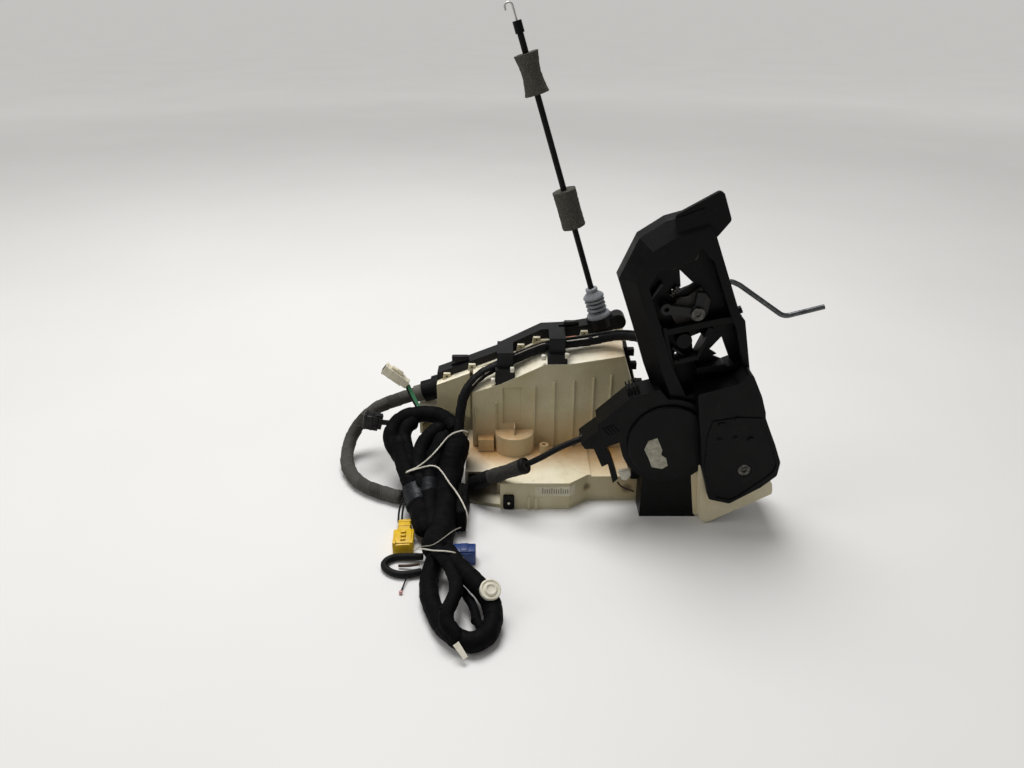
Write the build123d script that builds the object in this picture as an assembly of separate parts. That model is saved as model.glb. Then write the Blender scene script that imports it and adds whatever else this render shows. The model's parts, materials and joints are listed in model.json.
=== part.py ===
"""Door latch actuator: a closing and locking module for a car door, laid down on its base.

Millimetres. The origin is on the underside of the cream housing, +X runs towards the latch,
+Y away from the label face and +Z up. The handle carrier and its drive lean over by
CARRIER_LEAN and the latch by LATCH_LEAN, both turned about +Y at the point (LATCH_X, 0, 0).
Inside those two frames X runs along the door's edge and Z up the carrier.
"""
import os
from math import atan2, cos, degrees, hypot, pi, radians, sin, tan

from build123d import *

# ---------------------------------------------------------------- driving dimensions
CLEAR = 0.05                 # radial running clearance of a pivot
GAP = 0.3                    # gap between pieces that pass each other

# cream housing
WALL = 2.5                   # moulded wall
BASE_T = 3.0                 # base cover
LEDGE_Z = 25.4               # top of the lower box
BOX_LEFT, BOX_RIGHT = -80.0, 85.0
LABEL_Y = -55.4              # label face
BAY_Y = -37.0                # front face behind the cable bay
BAY_RIGHT = -50.0
SIDE_BOX_Y = -42.0           # front of the right-hand box
SIDE_BOX_X = 27.0
SIDE_BOX_STEP = 1.6          # how much lower the right-hand box is
WALL_Y = 6.0                 # front of the ribbed wall
SPLIT_Y = 36.0               # joint between shell and rear cover
BACK_Y = 50.0                # back of the rear cover
WALL_TOP = [(-75.0, 79.0), (-50.0, 87.0), (-12.0, 105.7), (8.0, 106.0), (56.0, 114.0)]
WALL_SIDE = (64.0, 88.0)
ROOF_RISE = 9.0              # how much the roof climbs from the wall to the joint
RIB_X = (-72.0, -54.0, -20.0, -3.0, 14.0, 31.0, 46.0)
RIB_T, RIB_STAND = 1.2, 1.8
RIB_DROP = 16.0              # from the top of the wall down to a rib's end
NICHE = (-48.0, -32.0, 49.0, 84.0)   # shallow recess in the wall: x, x, z, z
NICHE_DEPTH = 1.6
COVER_TOP = [(-108.0, 75.0), (-80.0, 86.0), (-50.0, 98.0), (-14.0, 116.0), (8.0, 117.0), (58.0, 126.0)]
LOBE_LEFT, LOBE_TOP, LOBE_BOTTOM = -126.0, 50.0, 22.0
HOOK_X = (-99, -76, -32, -18, 24)    # snap hooks along the foot of the duct

# closing servo under the drum
DRUM_X, DRUM_Y, DRUM_R, DRUM_TOP = -37.7, 3.0, 17.0, 43.0
PISTON_T, PISTON_STROKE = 8.0, 16.0
SEAL_W = 1.0
QUADRANT_R = 26.0            # cable groove of the quadrant that the piston pulls

# cable duct along the roof
DUCT_Y, DUCT_W, DUCT_WALL = 40.0, 16.0, 1.8
DUCT_LOW, DUCT_HIGH = 7.0, 9.0
DUCT_STEP_X, DUCT_END_X = -52.0, 50.0
CLIP_X = (-53.0, -8.0)
CLIP_W, CLIP_T = 14.0, 2.0
CLIP_LEG_Y = 13.6             # back of a strap's front leg
CATCH_LEN, CATCH_H = 7.0, 8.0

# board, screws and gasket of the housing
BOARD_X, BOARD_Z, BOARD_T = (-60.0, 0.0), (50.0, 77.0), 1.6
BOARD_POSTS = [(-55.0, 56.0), (-6.0, 56.0), (-30.5, 74.0)]
POST_R, POST_LEN = 3.0, 12.0
PLUG_BODY, RELAY_BODY = (-56.0, -40.0, 54.0, 64.0), (-20.0, -8.0, 56.0, 70.0)    # x, x, z, z
HOUSING_SCREWS = [(-66.0, 34.0), (-66.0, 76.0), (72.0, 34.0), (30.0, 100.0), (-118.0, 40.0)]
SCREW_R, SCREW_H, SCREW_SLOT_W, SCREW_SLOT_T = 4.0, 2.6, 5.0, 3.0
GASKET_EDGE = [(56.0, 118.0), (64.0, 88.0), (74.0, 58.0)]
GASKET_T, GASKET_Y, GASKET_LUGS = 3.2, (16.0, 30.0), [(60.0, 112.0), (63.0, 99.0), (69.0, 82.0)]
LUG_HALF, LUG_Y = 3.0, (18.0, 24.0)

# hose port on the left of the rear cover
PORT_Z, PORT_R, PORT_LEN, PORT_DROP = 65.0, 10.0, 14.0, 17.0
COLLAR_R, COLLAR_LEN = 7.6, 8.0

# inner release cable, standing out of the duct
RELEASE_X, RELEASE_Y, RELEASE_Z = 38.0, 48.0, 132.0
RELEASE_LEAN = 17.1
CONDUIT_D = 5.0
PLATFORM_R, PLATFORM_T = 11.5, 3.0
BELLOWS_LEN, BELLOWS_R = 30.0, 10.5
CONDUIT_TOP = 250.0
SLEEVE_LOW, SLEEVE_HIGH = (87.0, 119.0), (198.0, 229.0)
SLEEVE_R, SLEEVE_WAIST_R = 10.0, 7.6
FERRULE_R, FERRULE_LEN = 3.6, 9.0
WIRE_D, WIRE_TRAVEL = 1.5, 15.0
HOOK_R = 3.0
RELEASE_ARM = 22.0           # arm of the lever that the wire pulls

# leaning frames
LATCH_X = 119.0
CARRIER_LEAN = 24.0
LATCH_LEAN = 29.0
CARRIER = Pos(LATCH_X, 0, 0) * Rot(0, -CARRIER_LEAN, 0)
LATCH = Pos(LATCH_X, 0, 0) * Rot(0, -LATCH_LEAN, 0)

# handle carrier
CARRIER_FRONT, CARRIER_BACK = -66.0, -40.0
WEB_FRONT, WEB_BACK = -52.0, -49.0
BEVEL = 11.0                 # chamfer down the left and over the top
CARRIER_WALL = 3.0
CARRIER_OUTLINE = [
    (14, 50), (74, 50), (74.9, 92.9), (75, 114.7), (83.4, 154.2), (81.3, 160.2), (83.6, 224.3),
    (80, 242), (56.3, 245.3), (33.9, 241.5), (9.2, 218.7), (5.8, 176.1), (2.2, 139.5), (1, 102.5)]
DISH_OUTLINE = [                     # recess in the front, its upper edge a sloping lip
    (23.5, 112), (69, 112), (71, 119), (75.5, 150), (75, 165), (76.5, 206), (71.2, 220), (64, 213.5),
    (48.3, 213.3), (36.9, 215.9), (27, 207), (22, 141)]
TAB_OUTLINE = [(58, 228), (84, 222), (97.2, 229.4), (98.5, 252.5), (61.5, 248.7)]
TAB_FRONT, TAB_T, TAB_CORNER = -63.0, 4.0, 3.5
TAB_RIDGE, TAB_RIDGE_T = [(62.4, 246.4), (82.4, 245.3), (71.1, 237.6)], 1.4
WINDOWS = [
    [(52.7, 205.8), (58.9, 191.6), (41.4, 188.1), (42.2, 193.8), (49.2, 193.2)],
    [(53.9, 152.1), (40.8, 139.2), (43.8, 151.9)],
    [(31.4, 146.0), (26.2, 143.6), (28.2, 141.4)],
    [(64.9, 142.5), (64.8, 121.6), (60.3, 122.3), (52.8, 130.4), (56.8, 130), (52.7, 135.9)]]
FRONT_BARS = [                       # start, end and width of the ribs that stand in the dish
    ((26.4, 167.5), (67.4, 159.5), 5), ((66, 159.8), (82, 155.2), 5), ((59.1, 157.2), (41.9, 139.9), 4.5),
    ((27, 171.5), (18, 115.3), 3), ((24, 141.5), (43, 138.5), 4), ((38, 128), (75, 117.5), 5),
    ((24, 172), (22, 200), 3)]
BACK_BARS = [((9, 186), (80, 186)), ((5, 118), (74, 118))]
BACK_BAR_T = 2.5
STOP_BOSS, STOP_BOSS_R = (37.2, 153.9), 6.0
CRANK_X, CRANK_Z = 53.3, 172.2
CRANK_T, CRANK_HUB_R, CRANK_PIN_R = 5.0, 6.0, 3.0
CRANK_ARM = (-20.0, 12.0)    # from the hub to the pivot that the wire pulls
CRANK_FINGER = (8.0, 14.0)
ROD_X, ROD_Z = 63.6, 181.0
ROD_D, ROD_HUB_R, ROD_HUB_T = 4.0, 6.0, 5.0
ROD_Y = -37.0
ROD_STUD_R, ROD_CLIP_T = 2.5, 1.5
ROD_ROUTE = [(127, 195.5), (133.5, 192.5), (171, 166.8), (201, 175)]     # XZ, in the part's own frame

# closing drive
DRIVE_X, DRIVE_Z, DRIVE_R = -2.5, 82.0, 37.5
DRIVE_FRONT, DRIVE_BACK, DRIVE_LID_T, DRIVE_WALL = -70.0, -30.0, 3.0, 3.0
DRIVE_LID_R = 32.5
ARM_OUTLINE = [
    (-20, 96), (-52.6, 97.5), (-65, 102.5), (-66, 108.5), (-49, 113.5), (-47.5, 119), (-15.6, 130.5),
    (0.8, 128.1), (7, 128), (12, 110)]
FINGER_OUTLINE = [
    (-49.5, 99), (-58.8, 101), (-59.1, 80.4), (-53.7, 81), (-56.5, 62.3), (-51.1, 64.6), (-49.5, 80.7)]
ARM_FIN_X, ARM_FIN_PITCH, ARM_FIN_COUNT = -17.5, 2.7, 4
TICK_X, TICK_PITCH, TICK_COUNT = -43.0, 2.6, 4
ARM_BACK = -46.0
QUADRANT_T = 8.0
AXLE_R = 4.0

# latch
LATCH_FRONT, LATCH_BACK, LATCH_WALL = -76.0, -32.0, 3.0
LATCH_W, LATCH_H = 62.0, 52.0
LATCH_LAYER = 9.0            # depth of each of the two front layers
LATCH_LEFT = [                       # left edges of the three layers, from the foot up
    [(4.5, 0), (-0.6, 1.7), (-2.1, 7.5), (17.4, LATCH_H)],
    [(4.5, 0), (-4.5, 4), (-5.7, 7.3), (11.4, LATCH_H)],
    [(4.5, 0), (-6.5, 4.5), (-8, 8.1), (-0.4, 37.2), (4, LATCH_H)]]
PLATE_T = 2.5
SLOT_X, SLOT_W, SLOT_END = LATCH_W * 36 / 62, 13.0, -54.0
CLAW_X, CLAW_Y, CLAW_R, CLAW_T = LATCH_W * 23 / 62, -54.0, LATCH_W * 18 / 62, 8.0
CLAW_BASE = 3.5
CLAW_SLOT, CLAW_REACH = 12.0, CLAW_R - 5.0
CLAW_NOTCH, CLAW_NOTCH_ANGLE = CLAW_R * 0.36, 35.0
CLAW_OPEN = 65.0             # turn of the claw from latched to open
PAWL_X, PAWL_Y, PAWL_R = LATCH_W * 51 / 62, -61.0, LATCH_W * 6 / 62
LATCH_PIN_R = 4.0
BACK_PLATE_Z = 13.0
BOLT_R, BOLT_BOSS_R, BOLT_BOSS_LEN = 2.5, 3.7, 5.0
BOLTS = [(6.8, -69.2), (6.8, -38.8), (LATCH_W - 10, -38.8)]
COVER_FRONT, COVER_SKIRT_BACK = -84.0, -66.0
COVER_OUTLINE = [
    (14.2, 57), (10, 27.3), (23.8, 16.6), (LATCH_W - 10.8, 21.2), (LATCH_W + 3.9, 26.6),
    (LATCH_W + 9.8, 37.3), (LATCH_W + 10.5, 54.3), (LATCH_W + 10.3, 79.8), (LATCH_W + 11.7, 84.7),
    (LATCH_W + 13, 99.1), (LATCH_W + 12.2, 121), (60.4, 116.2), (31.5, 120), (22, 84)]
COVER_SCREW = (44.0, 41.6)
COVER_PEGS = [(40.2, 88.0), (52.7, 87.3), (56.6, 66.3)]

# foot under the drive
FOOT_LEFT, FOOT_RIGHT, FOOT_TOP = 66.0, 112.0, 48.0
FOOT_FRONT, FOOT_BACK, FOOT_TONGUE = -66.0, -44.0, 6.0

# cords: diameters and hand-set routes
HOSE_D, LOOM_D = 12.0, 9.0
HOSE_ROUTE = [
    (-129.1, 45, 58.5), (-147, 45, 53), (-172, 44.5, 42), (-189, 37, 23), (-193.5, 19, 8.6),
    (-187, -6, 6.3), (-173, -27, 6.3), (-153, -40, 6.3), (-134, -48, 6.3)]
LOOM_ROUTE = [
    (86, -47, 131), (84, -25, 133), (73, 1, 133), (51, 19, 129), (27, 23, 121), (-6, 22, 117.8),
    (-20, 21.5, 113.3), (-44, 21, 102), (-67, 16, 93.5), (-82, 6, 80), (-85.5, -1, 61), (-86.8, -8, 47.5)]
CLOSING_ROUTE = [
    (15.2, -58, 69.4), (1, -60, 65), (-24, -62.5, 49.5), (-68.5, -46, 21.5), (-73.5, -32, 14),
    (-73.5, -20, 14)]
NOZZLE_R, NOZZLE_LEN = 4.2, 10.0     # where the closing cable leaves the drive's arm
CLOSING_SLEEVE = (6.0, 50.0)         # start and end along the long straight run
SLEEVE_SLACK = 0.6
TRUNK_D, SIDE_TRUNK_D = 24.0, 20.0
TRUNK_ROUTE = [
    (-87, -9, 46), (-88, -22, 38.5), (-93, -39, 26.5), (-96, -60, 15.5), (-94.5, -84, 12.5),
    (-96.5, -108, 12.4), (-99, -134, 12.4)]
SIDE_TRUNK_ROUTE = [
    (-131, -27, 27), (-124.5, -41, 17.5), (-119, -62, 11.2), (-112, -84, 10.4), (-106.5, -104, 10.4)]
UPPER_LOOP_D = 15.0
UPPER_LOOP_ROUTE = [
    (-90, -1, 47), (-99, 8, 53), (-112, 14, 54), (-127.5, 14, 53.6), (-141, 8, 50.5), (-147.5, -3, 43),
    (-143.5, -13, 35), (-134, -23, 28.5)]
FOLD_D = 14.0
FOLD_ROUTE = [(-96, -6, 47), (-104.5, -12, 40), (-113.5, -24, 32.5), (-121, -34, 23.5)]
LOWER_LOOP_D = 14.0
LOWER_LOOP_ROUTE = [
    (-96.5, -129, 10), (-101, -148, 7.5), (-100, -170, 7.2), (-93, -191, 7.2), (-83, -209, 7.2),
    (-70.5, -219, 7.2), (-59, -216, 7.2), (-52.5, -203, 8), (-53, -190, 12), (-60, -178, 17),
    (-71, -166, 19.5), (-81, -153, 20.5), (-88, -139, 19)]
INNER_LOOP_D = 10.0
INNER_LOOP_ROUTE = [
    (-97, -134, 19.5), (-90, -148, 21), (-82.5, -162, 20.5), (-78.6, -176, 19), (-80, -190, 18),
    (-86.5, -202, 16.5)]
CROSS_STRAND_D = 6.5
CROSS_STRAND_ROUTE = [(-81, -159, 8.5), (-75.5, -169, 8), (-69, -180, 8.5), (-65, -191, 9), (-64.5, -201, 9)]
PIGTAIL_D = 5.5
PIGTAIL_ROUTE = [
    (-108.5, -126, 5), (-120.5, -123.5, 3.4), (-133, -124, 3), (-138.5, -133, 3), (-131, -142.5, 3),
    (-119, -145.5, 3), (-107.5, -142, 4)]


# ---------------------------------------------------------------- shared helpers
def inset(points, distance):
    """The polygon moved inwards by distance, corner by corner."""
    count = len(points)
    area = sum(points[i][0] * points[(i + 1) % count][1] - points[(i + 1) % count][0] * points[i][1]
               for i in range(count))
    side = 1 if area > 0 else -1
    moved = []
    for i in range(count):
        before, here, after = points[i - 1], points[i], points[(i + 1) % count]
        first = Vector(here[0] - before[0], here[1] - before[1]).normalized()
        second = Vector(after[0] - here[0], after[1] - here[1]).normalized()
        middle = Vector(-first.Y - second.Y, first.X + second.X)
        reach = 2 * distance * side / (middle.X ** 2 + middle.Y ** 2)
        moved.append((here[0] + middle.X * reach, here[1] + middle.Y * reach))
    return moved


def outline(points, corner=0.0):
    """A flat face from a closed polygon, with all corners rounded if asked."""
    face = make_face(Polyline(*points, close=True))
    return fillet(face.vertices(), corner) if corner else face


def slab(points, front, back, corner=0.0):
    """A prism whose XZ outline runs from y = front to y = back."""
    face = Plane.XZ.offset(-front) * outline(points, corner)
    return extrude(face, back - front, dir=(0, 1, 0))


def plate(points, bottom, top, corner=0.0):
    """A prism whose XY outline runs from z = bottom to z = top."""
    return extrude(Pos(0, 0, bottom) * outline(points, corner), top - bottom, dir=(0, 0, 1))


def block(x0, x1, y0, y1, z0, z1):
    return Pos((x0 + x1) / 2, (y0 + y1) / 2, (z0 + z1) / 2) * Box(x1 - x0, y1 - y0, z1 - z0)


def rod_y(x, z, front, back, radius):
    """A cylinder along Y from front to back."""
    return Pos(x, (front + back) / 2, z) * Rot(90, 0, 0) * Cylinder(radius, back - front)


def rod_z(x, y, bottom, top, radius):
    """A cylinder along Z from bottom to top."""
    return Pos(x, y, (bottom + top) / 2) * Cylinder(radius, top - bottom)


def height_on(profile, x):
    """The height of a roof line at x."""
    for (x0, z0), (x1, z1) in zip(profile, profile[1:]):
        if x0 <= x <= x1:
            return z0 + (z1 - z0) * (x - x0) / (x1 - x0)
    return profile[0][1] if x < profile[0][0] else profile[-1][1]


def route_path(points):
    """Straight runs joined by the largest tangent arcs that they leave room for."""
    corners = [Vector(*point) for point in points]
    radii = []
    for before, here, after in zip(corners, corners[1:], corners[2:]):
        turn = (here - before).get_angle(after - here)
        shorter = min((here - before).length, (after - here).length)
        radii.append(0.45 * shorter / tan(radians(turn / 2)))
    return FilletPolyline(*corners, radius=radii), radii


def tube(name, points, diameter):
    """A cord's plain solid along its route."""
    path, radii = route_path(points)
    section = Plane(origin=path @ 0, z_dir=path % 0) * Circle(diameter / 2)
    solid = sweep(section, path=path)
    share = solid.volume / (pi * diameter ** 2 / 4 * path.length)
    print(f"{name}: length {path.length:.1f}, volume share {share:.4f},",
          "radii", " ".join(f"{radius:.0f}" for radius in radii))
    return solid


parts = {}


def keep(name, shape):
    parts[name] = shape


# ---------------------------------------------------------------- cream housing
def box_plan():
    """Plan of the lower box, with the stepped bay on its left and the S on its right."""
    return [(BOX_LEFT, SPLIT_Y), (BOX_LEFT, BAY_Y), (BAY_RIGHT, BAY_Y), (BAY_RIGHT, LABEL_Y),
            (8, LABEL_Y), (SIDE_BOX_X - 3, SIDE_BOX_Y), (BOX_RIGHT, SIDE_BOX_Y), (BOX_RIGHT, SPLIT_Y)]


def wall_outline():
    """XZ outline of the ribbed wall, from just under the ledge up."""
    foot = LEDGE_Z - WALL
    return [(BOX_RIGHT, foot), WALL_SIDE] + WALL_TOP[::-1] + [(WALL_TOP[0][0], foot)]


def leaning_prism(points, front, back, rise):
    """A prism along Y whose roof climbs by rise on its way back."""
    lifted = [(x, z + rise if z > LEDGE_Z else z) for x, z in points]
    near = Plane.XZ.offset(-front) * outline(points)
    far = Plane.XZ.offset(-back) * outline(lifted)
    return loft([near, far], ruled=True)


def shell_outer():
    lower = plate(box_plan(), BASE_T, LEDGE_Z)
    lower -= block(SIDE_BOX_X, BOX_RIGHT, SIDE_BOX_Y, WALL_Y, LEDGE_Z - SIDE_BOX_STEP, LEDGE_Z)
    return lower + leaning_prism(wall_outline(), WALL_Y, SPLIT_Y, ROOF_RISE)


def housing_shell():
    shell = shell_outer()
    inner_plan = inset(box_plan(), WALL)
    shell -= plate(inner_plan, BASE_T, LEDGE_Z - WALL - SIDE_BOX_STEP) - block(
        BOX_LEFT, BAY_RIGHT + WALL, LABEL_Y, BAY_Y + 21.5, 0, LEDGE_Z)
    inner_wall = [(x, max(z, LEDGE_Z - WALL) if z > LEDGE_Z + WALL else LEDGE_Z - 2 * WALL)
                  for x, z in inset(wall_outline(), WALL)]
    shell -= leaning_prism(inner_wall, WALL_Y + WALL, SPLIT_Y, ROOF_RISE)
    # cable bay: a recess down to the base cover, with a slanting cheek on its left
    shell -= block(BOX_LEFT + WALL, BAY_RIGHT - WALL, BAY_Y - 1, BAY_Y + 19, BASE_T, LEDGE_Z - WALL)
    cheek = make_face(Plane.YZ * Polyline(
        (BAY_Y, BASE_T), (BAY_Y, LEDGE_Z), (BAY_Y - 7, 14), (BAY_Y - 9, BASE_T), close=True))
    shell += Pos(BOX_LEFT, 0, 0) * extrude(cheek, WALL, dir=(1, 0, 0))
    # drum over the servo
    shell += rod_z(DRUM_X, DRUM_Y, BASE_T, DRUM_TOP, DRUM_R)
    shell -= rod_z(DRUM_X, DRUM_Y, BASE_T, DRUM_TOP - WALL, DRUM_R - WALL)
    fin = block(DRUM_X - RIB_T / 2, DRUM_X + RIB_T / 2, DRUM_Y - 8, WALL_Y, DRUM_TOP, DRUM_TOP + 7)
    shell += fin
    # ribs, niche, small block and screw boss on the wall
    for x in RIB_X:
        top = height_on(WALL_TOP, x) - RIB_DROP
        shell += block(x - RIB_T / 2, x + RIB_T / 2, WALL_Y - RIB_STAND, WALL_Y, LEDGE_Z, top)
    shell -= block(NICHE[0], NICHE[1], WALL_Y, WALL_Y + NICHE_DEPTH, NICHE[2], NICHE[3])
    shell += block(-70, -56, WALL_Y - 10, WALL_Y, LEDGE_Z, LEDGE_Z + 12)
    shell += rod_z(-11.6, -5, LEDGE_Z, LEDGE_Z + 8.5, 4)
    shell -= rod_z(-11.6, -5, LEDGE_Z + 2, LEDGE_Z + 8.5, 1.8)
    # posts that carry the circuit board
    for x, z in BOARD_POSTS:
        shell += rod_y(x, z, WALL_Y + WALL, WALL_Y + POST_LEN, POST_R)
    return shell


def rear_cover():
    rim = [(BOX_LEFT, BASE_T), (BOX_RIGHT, BASE_T), (BOX_RIGHT, LEDGE_Z), (66, 98)] + COVER_TOP[::-1]
    rim += [(-108, LOBE_TOP), (LOBE_LEFT, LOBE_TOP), (LOBE_LEFT, LOBE_BOTTOM), (BOX_LEFT, LOBE_BOTTOM - 6)]
    cover = slab(rim, SPLIT_Y, BACK_Y) - slab(inset(rim, WALL), SPLIT_Y, BACK_Y - WALL)
    step = [(-108, LOBE_TOP + 2), (-78, 42), (-78, height_on(COVER_TOP, -78)), COVER_TOP[1], COVER_TOP[0]]
    cover += slab(step, SPLIT_Y - 6, SPLIT_Y)
    # snap hooks along the foot of the duct
    for x in HOOK_X:
        z = height_on(COVER_TOP, x)
        hook = slab([(x - 4, z - 1), (x + 4, z - 1), (x + 3, z + 4.5), (x - 3, z + 4.5)],
                    DUCT_Y - 3.5, DUCT_Y)
        hook -= slab([(x - 2, z + 0.8), (x + 2, z + 0.8), (x, z + 3.4)], DUCT_Y - 3.5, DUCT_Y)
        cover += hook
    # boss that carries the release lever's pin
    cover += rod_y(35, 90, BACK_Y - WALL - 3, BACK_Y - WALL, 5)
    return cover


def base_cover():
    plan = box_plan()
    plan[2:4] = [(BAY_RIGHT, LABEL_Y + 2), (BAY_RIGHT, LABEL_Y)]
    plan[1] = (BOX_LEFT, BAY_Y - 9)
    plan[0], plan[-1] = (BOX_LEFT, BACK_Y), (BOX_RIGHT, BACK_Y)
    cover = plate(plan, 0, BASE_T)
    for x in (-27, -21):
        cover += block(x, x + 2.4, LABEL_Y - 1.6, LABEL_Y, 0, 13)
    for x in (-60, 40):
        cover += rod_z(x, 0, BASE_T, BASE_T + 6, 4)
    return cover


def cable_duct():
    def crest(x):
        return height_on(COVER_TOP, x) + (DUCT_LOW if x <= DUCT_STEP_X else DUCT_HIGH)

    left = COVER_TOP[0][0]
    floor = [point for point in COVER_TOP if point[0] < DUCT_END_X]
    floor.append((DUCT_END_X, height_on(COVER_TOP, DUCT_END_X)))
    low_top = [(left, crest(left)), (-80, crest(-80)), (DUCT_STEP_X, crest(DUCT_STEP_X))]
    high_top = [(x, crest(x)) for x in (DUCT_STEP_X + 0.1, -50, -14, 8, DUCT_END_X)]
    profile = floor + (low_top + high_top)[::-1]
    hollow = inset(profile, DUCT_WALL)
    hollow = [(x, z - 2 * DUCT_WALL) for x, z in hollow[:len(floor)]] + hollow[len(floor):]
    back = DUCT_Y + DUCT_W
    duct = slab(profile, DUCT_Y, back) - slab(hollow, DUCT_Y + DUCT_WALL, back - DUCT_WALL)
    for x, width in ((-88, 15), (10, 17)):
        tilt = degrees(atan2(crest(x + 5) - crest(x - 5), 10))
        duct += Pos(x, DUCT_Y + 8, crest(x) + 0.6) * Rot(0, -tilt, 0) * Box(width, 7, 3)
    return duct


def duct_clips():
    """Two straps that hold the loom down on the roof, each with a catch on the roof in front."""
    clips = []
    for x in CLIP_X:
        near = height_on(WALL_TOP, x + CLIP_W)
        far = height_on(COVER_TOP, x + CLIP_W)
        inner_top = far + LOOM_D
        leg = CLIP_LEG_Y
        side = [(DUCT_Y, far + 0.6), (DUCT_Y, far + 7), (DUCT_Y - CLIP_T, inner_top + CLIP_T),
                (leg - CLIP_T, inner_top + CLIP_T), (leg - CLIP_T, near - 9), (leg, near - 9),
                (leg, inner_top), (DUCT_Y - CLIP_T, inner_top), (DUCT_Y - CLIP_T, far + 0.6)]
        face = make_face(Plane.YZ * Polyline(*side, close=True))
        clip = Pos(x, 0, 0) * extrude(face, CLIP_W, dir=(1, 0, 0))
        catch = block(x - 1.5, x + CLIP_W + 1.5, leg - CATCH_LEN, leg, near - 12, near + CATCH_H)
        clips.append(clip + catch - shell_outer())
    return Compound(clips)


def edge_gasket():
    """Black strip with lugs down the right-hand edge of the shell."""
    outer_edge = [(x + GASKET_T, z) for x, z in GASKET_EDGE]
    gasket = slab(GASKET_EDGE + outer_edge[::-1], *GASKET_Y)
    for x, z in GASKET_LUGS:
        gasket += block(x, x + 2 * LUG_HALF, *LUG_Y, z - LUG_HALF, z + LUG_HALF)
    return gasket - shell_outer()


def build_housing():
    keep("housing_shell", housing_shell())
    keep("housing_rear_cover", rear_cover())
    keep("housing_base_cover", base_cover())
    plug = block(-47.5, -38, LABEL_Y - 2, LABEL_Y, 1, 14.5)
    plug = chamfer(plug.edges().filter_by(Axis.Y), 1.2) + rod_y(-42.7, 7.5, LABEL_Y - 3, LABEL_Y - 2, 1.6)
    keep("base_plug", plug)
    duct = cable_duct()
    keep("cable_duct", duct)
    keep("duct_clips", duct_clips())
    keep("edge_gasket", edge_gasket())
    board_back = WALL_Y + POST_LEN + BOARD_T
    board = block(*BOARD_X, WALL_Y + POST_LEN, board_back, *BOARD_Z)
    for x0, x1, z0, z1 in (PLUG_BODY, RELAY_BODY):
        board += block(x0, x1, board_back, board_back + 5.5, z0, z1)
    keep("circuit_board", board)
    screws = []
    for x, z in HOUSING_SCREWS:
        top = BACK_Y + SCREW_H
        slot = block(x - SCREW_SLOT_W / 2, x + SCREW_SLOT_W / 2, top - 1, top,
                     z - SCREW_SLOT_T / 2, z + SCREW_SLOT_T / 2)
        screws.append(rod_y(x, z, BACK_Y, top, SCREW_R) - slot)
    keep("housing_screws", Compound(screws))


# ---------------------------------------------------------------- closing servo
def build_servo():
    bore = DRUM_R - WALL
    low = BASE_T + 3
    piston = rod_z(DRUM_X, DRUM_Y, low, low + PISTON_T, bore - CLEAR)
    piston -= rod_z(DRUM_X, DRUM_Y, low + 3, low + PISTON_T, bore - 5)
    groove = low + PISTON_T / 2 - 1
    ring = rod_z(DRUM_X, DRUM_Y, groove, groove + 2, bore - CLEAR)
    ring -= rod_z(DRUM_X, DRUM_Y, groove, groove + 2, bore - CLEAR - SEAL_W)
    keep("servo_piston", piston - ring)
    keep("piston_seal", ring)


# ---------------------------------------------------------------- duct fittings and release cable
def along_release(shape):
    return Pos(RELEASE_X, RELEASE_Y, RELEASE_Z) * Rot(0, -RELEASE_LEAN, 0) * shape


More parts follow.
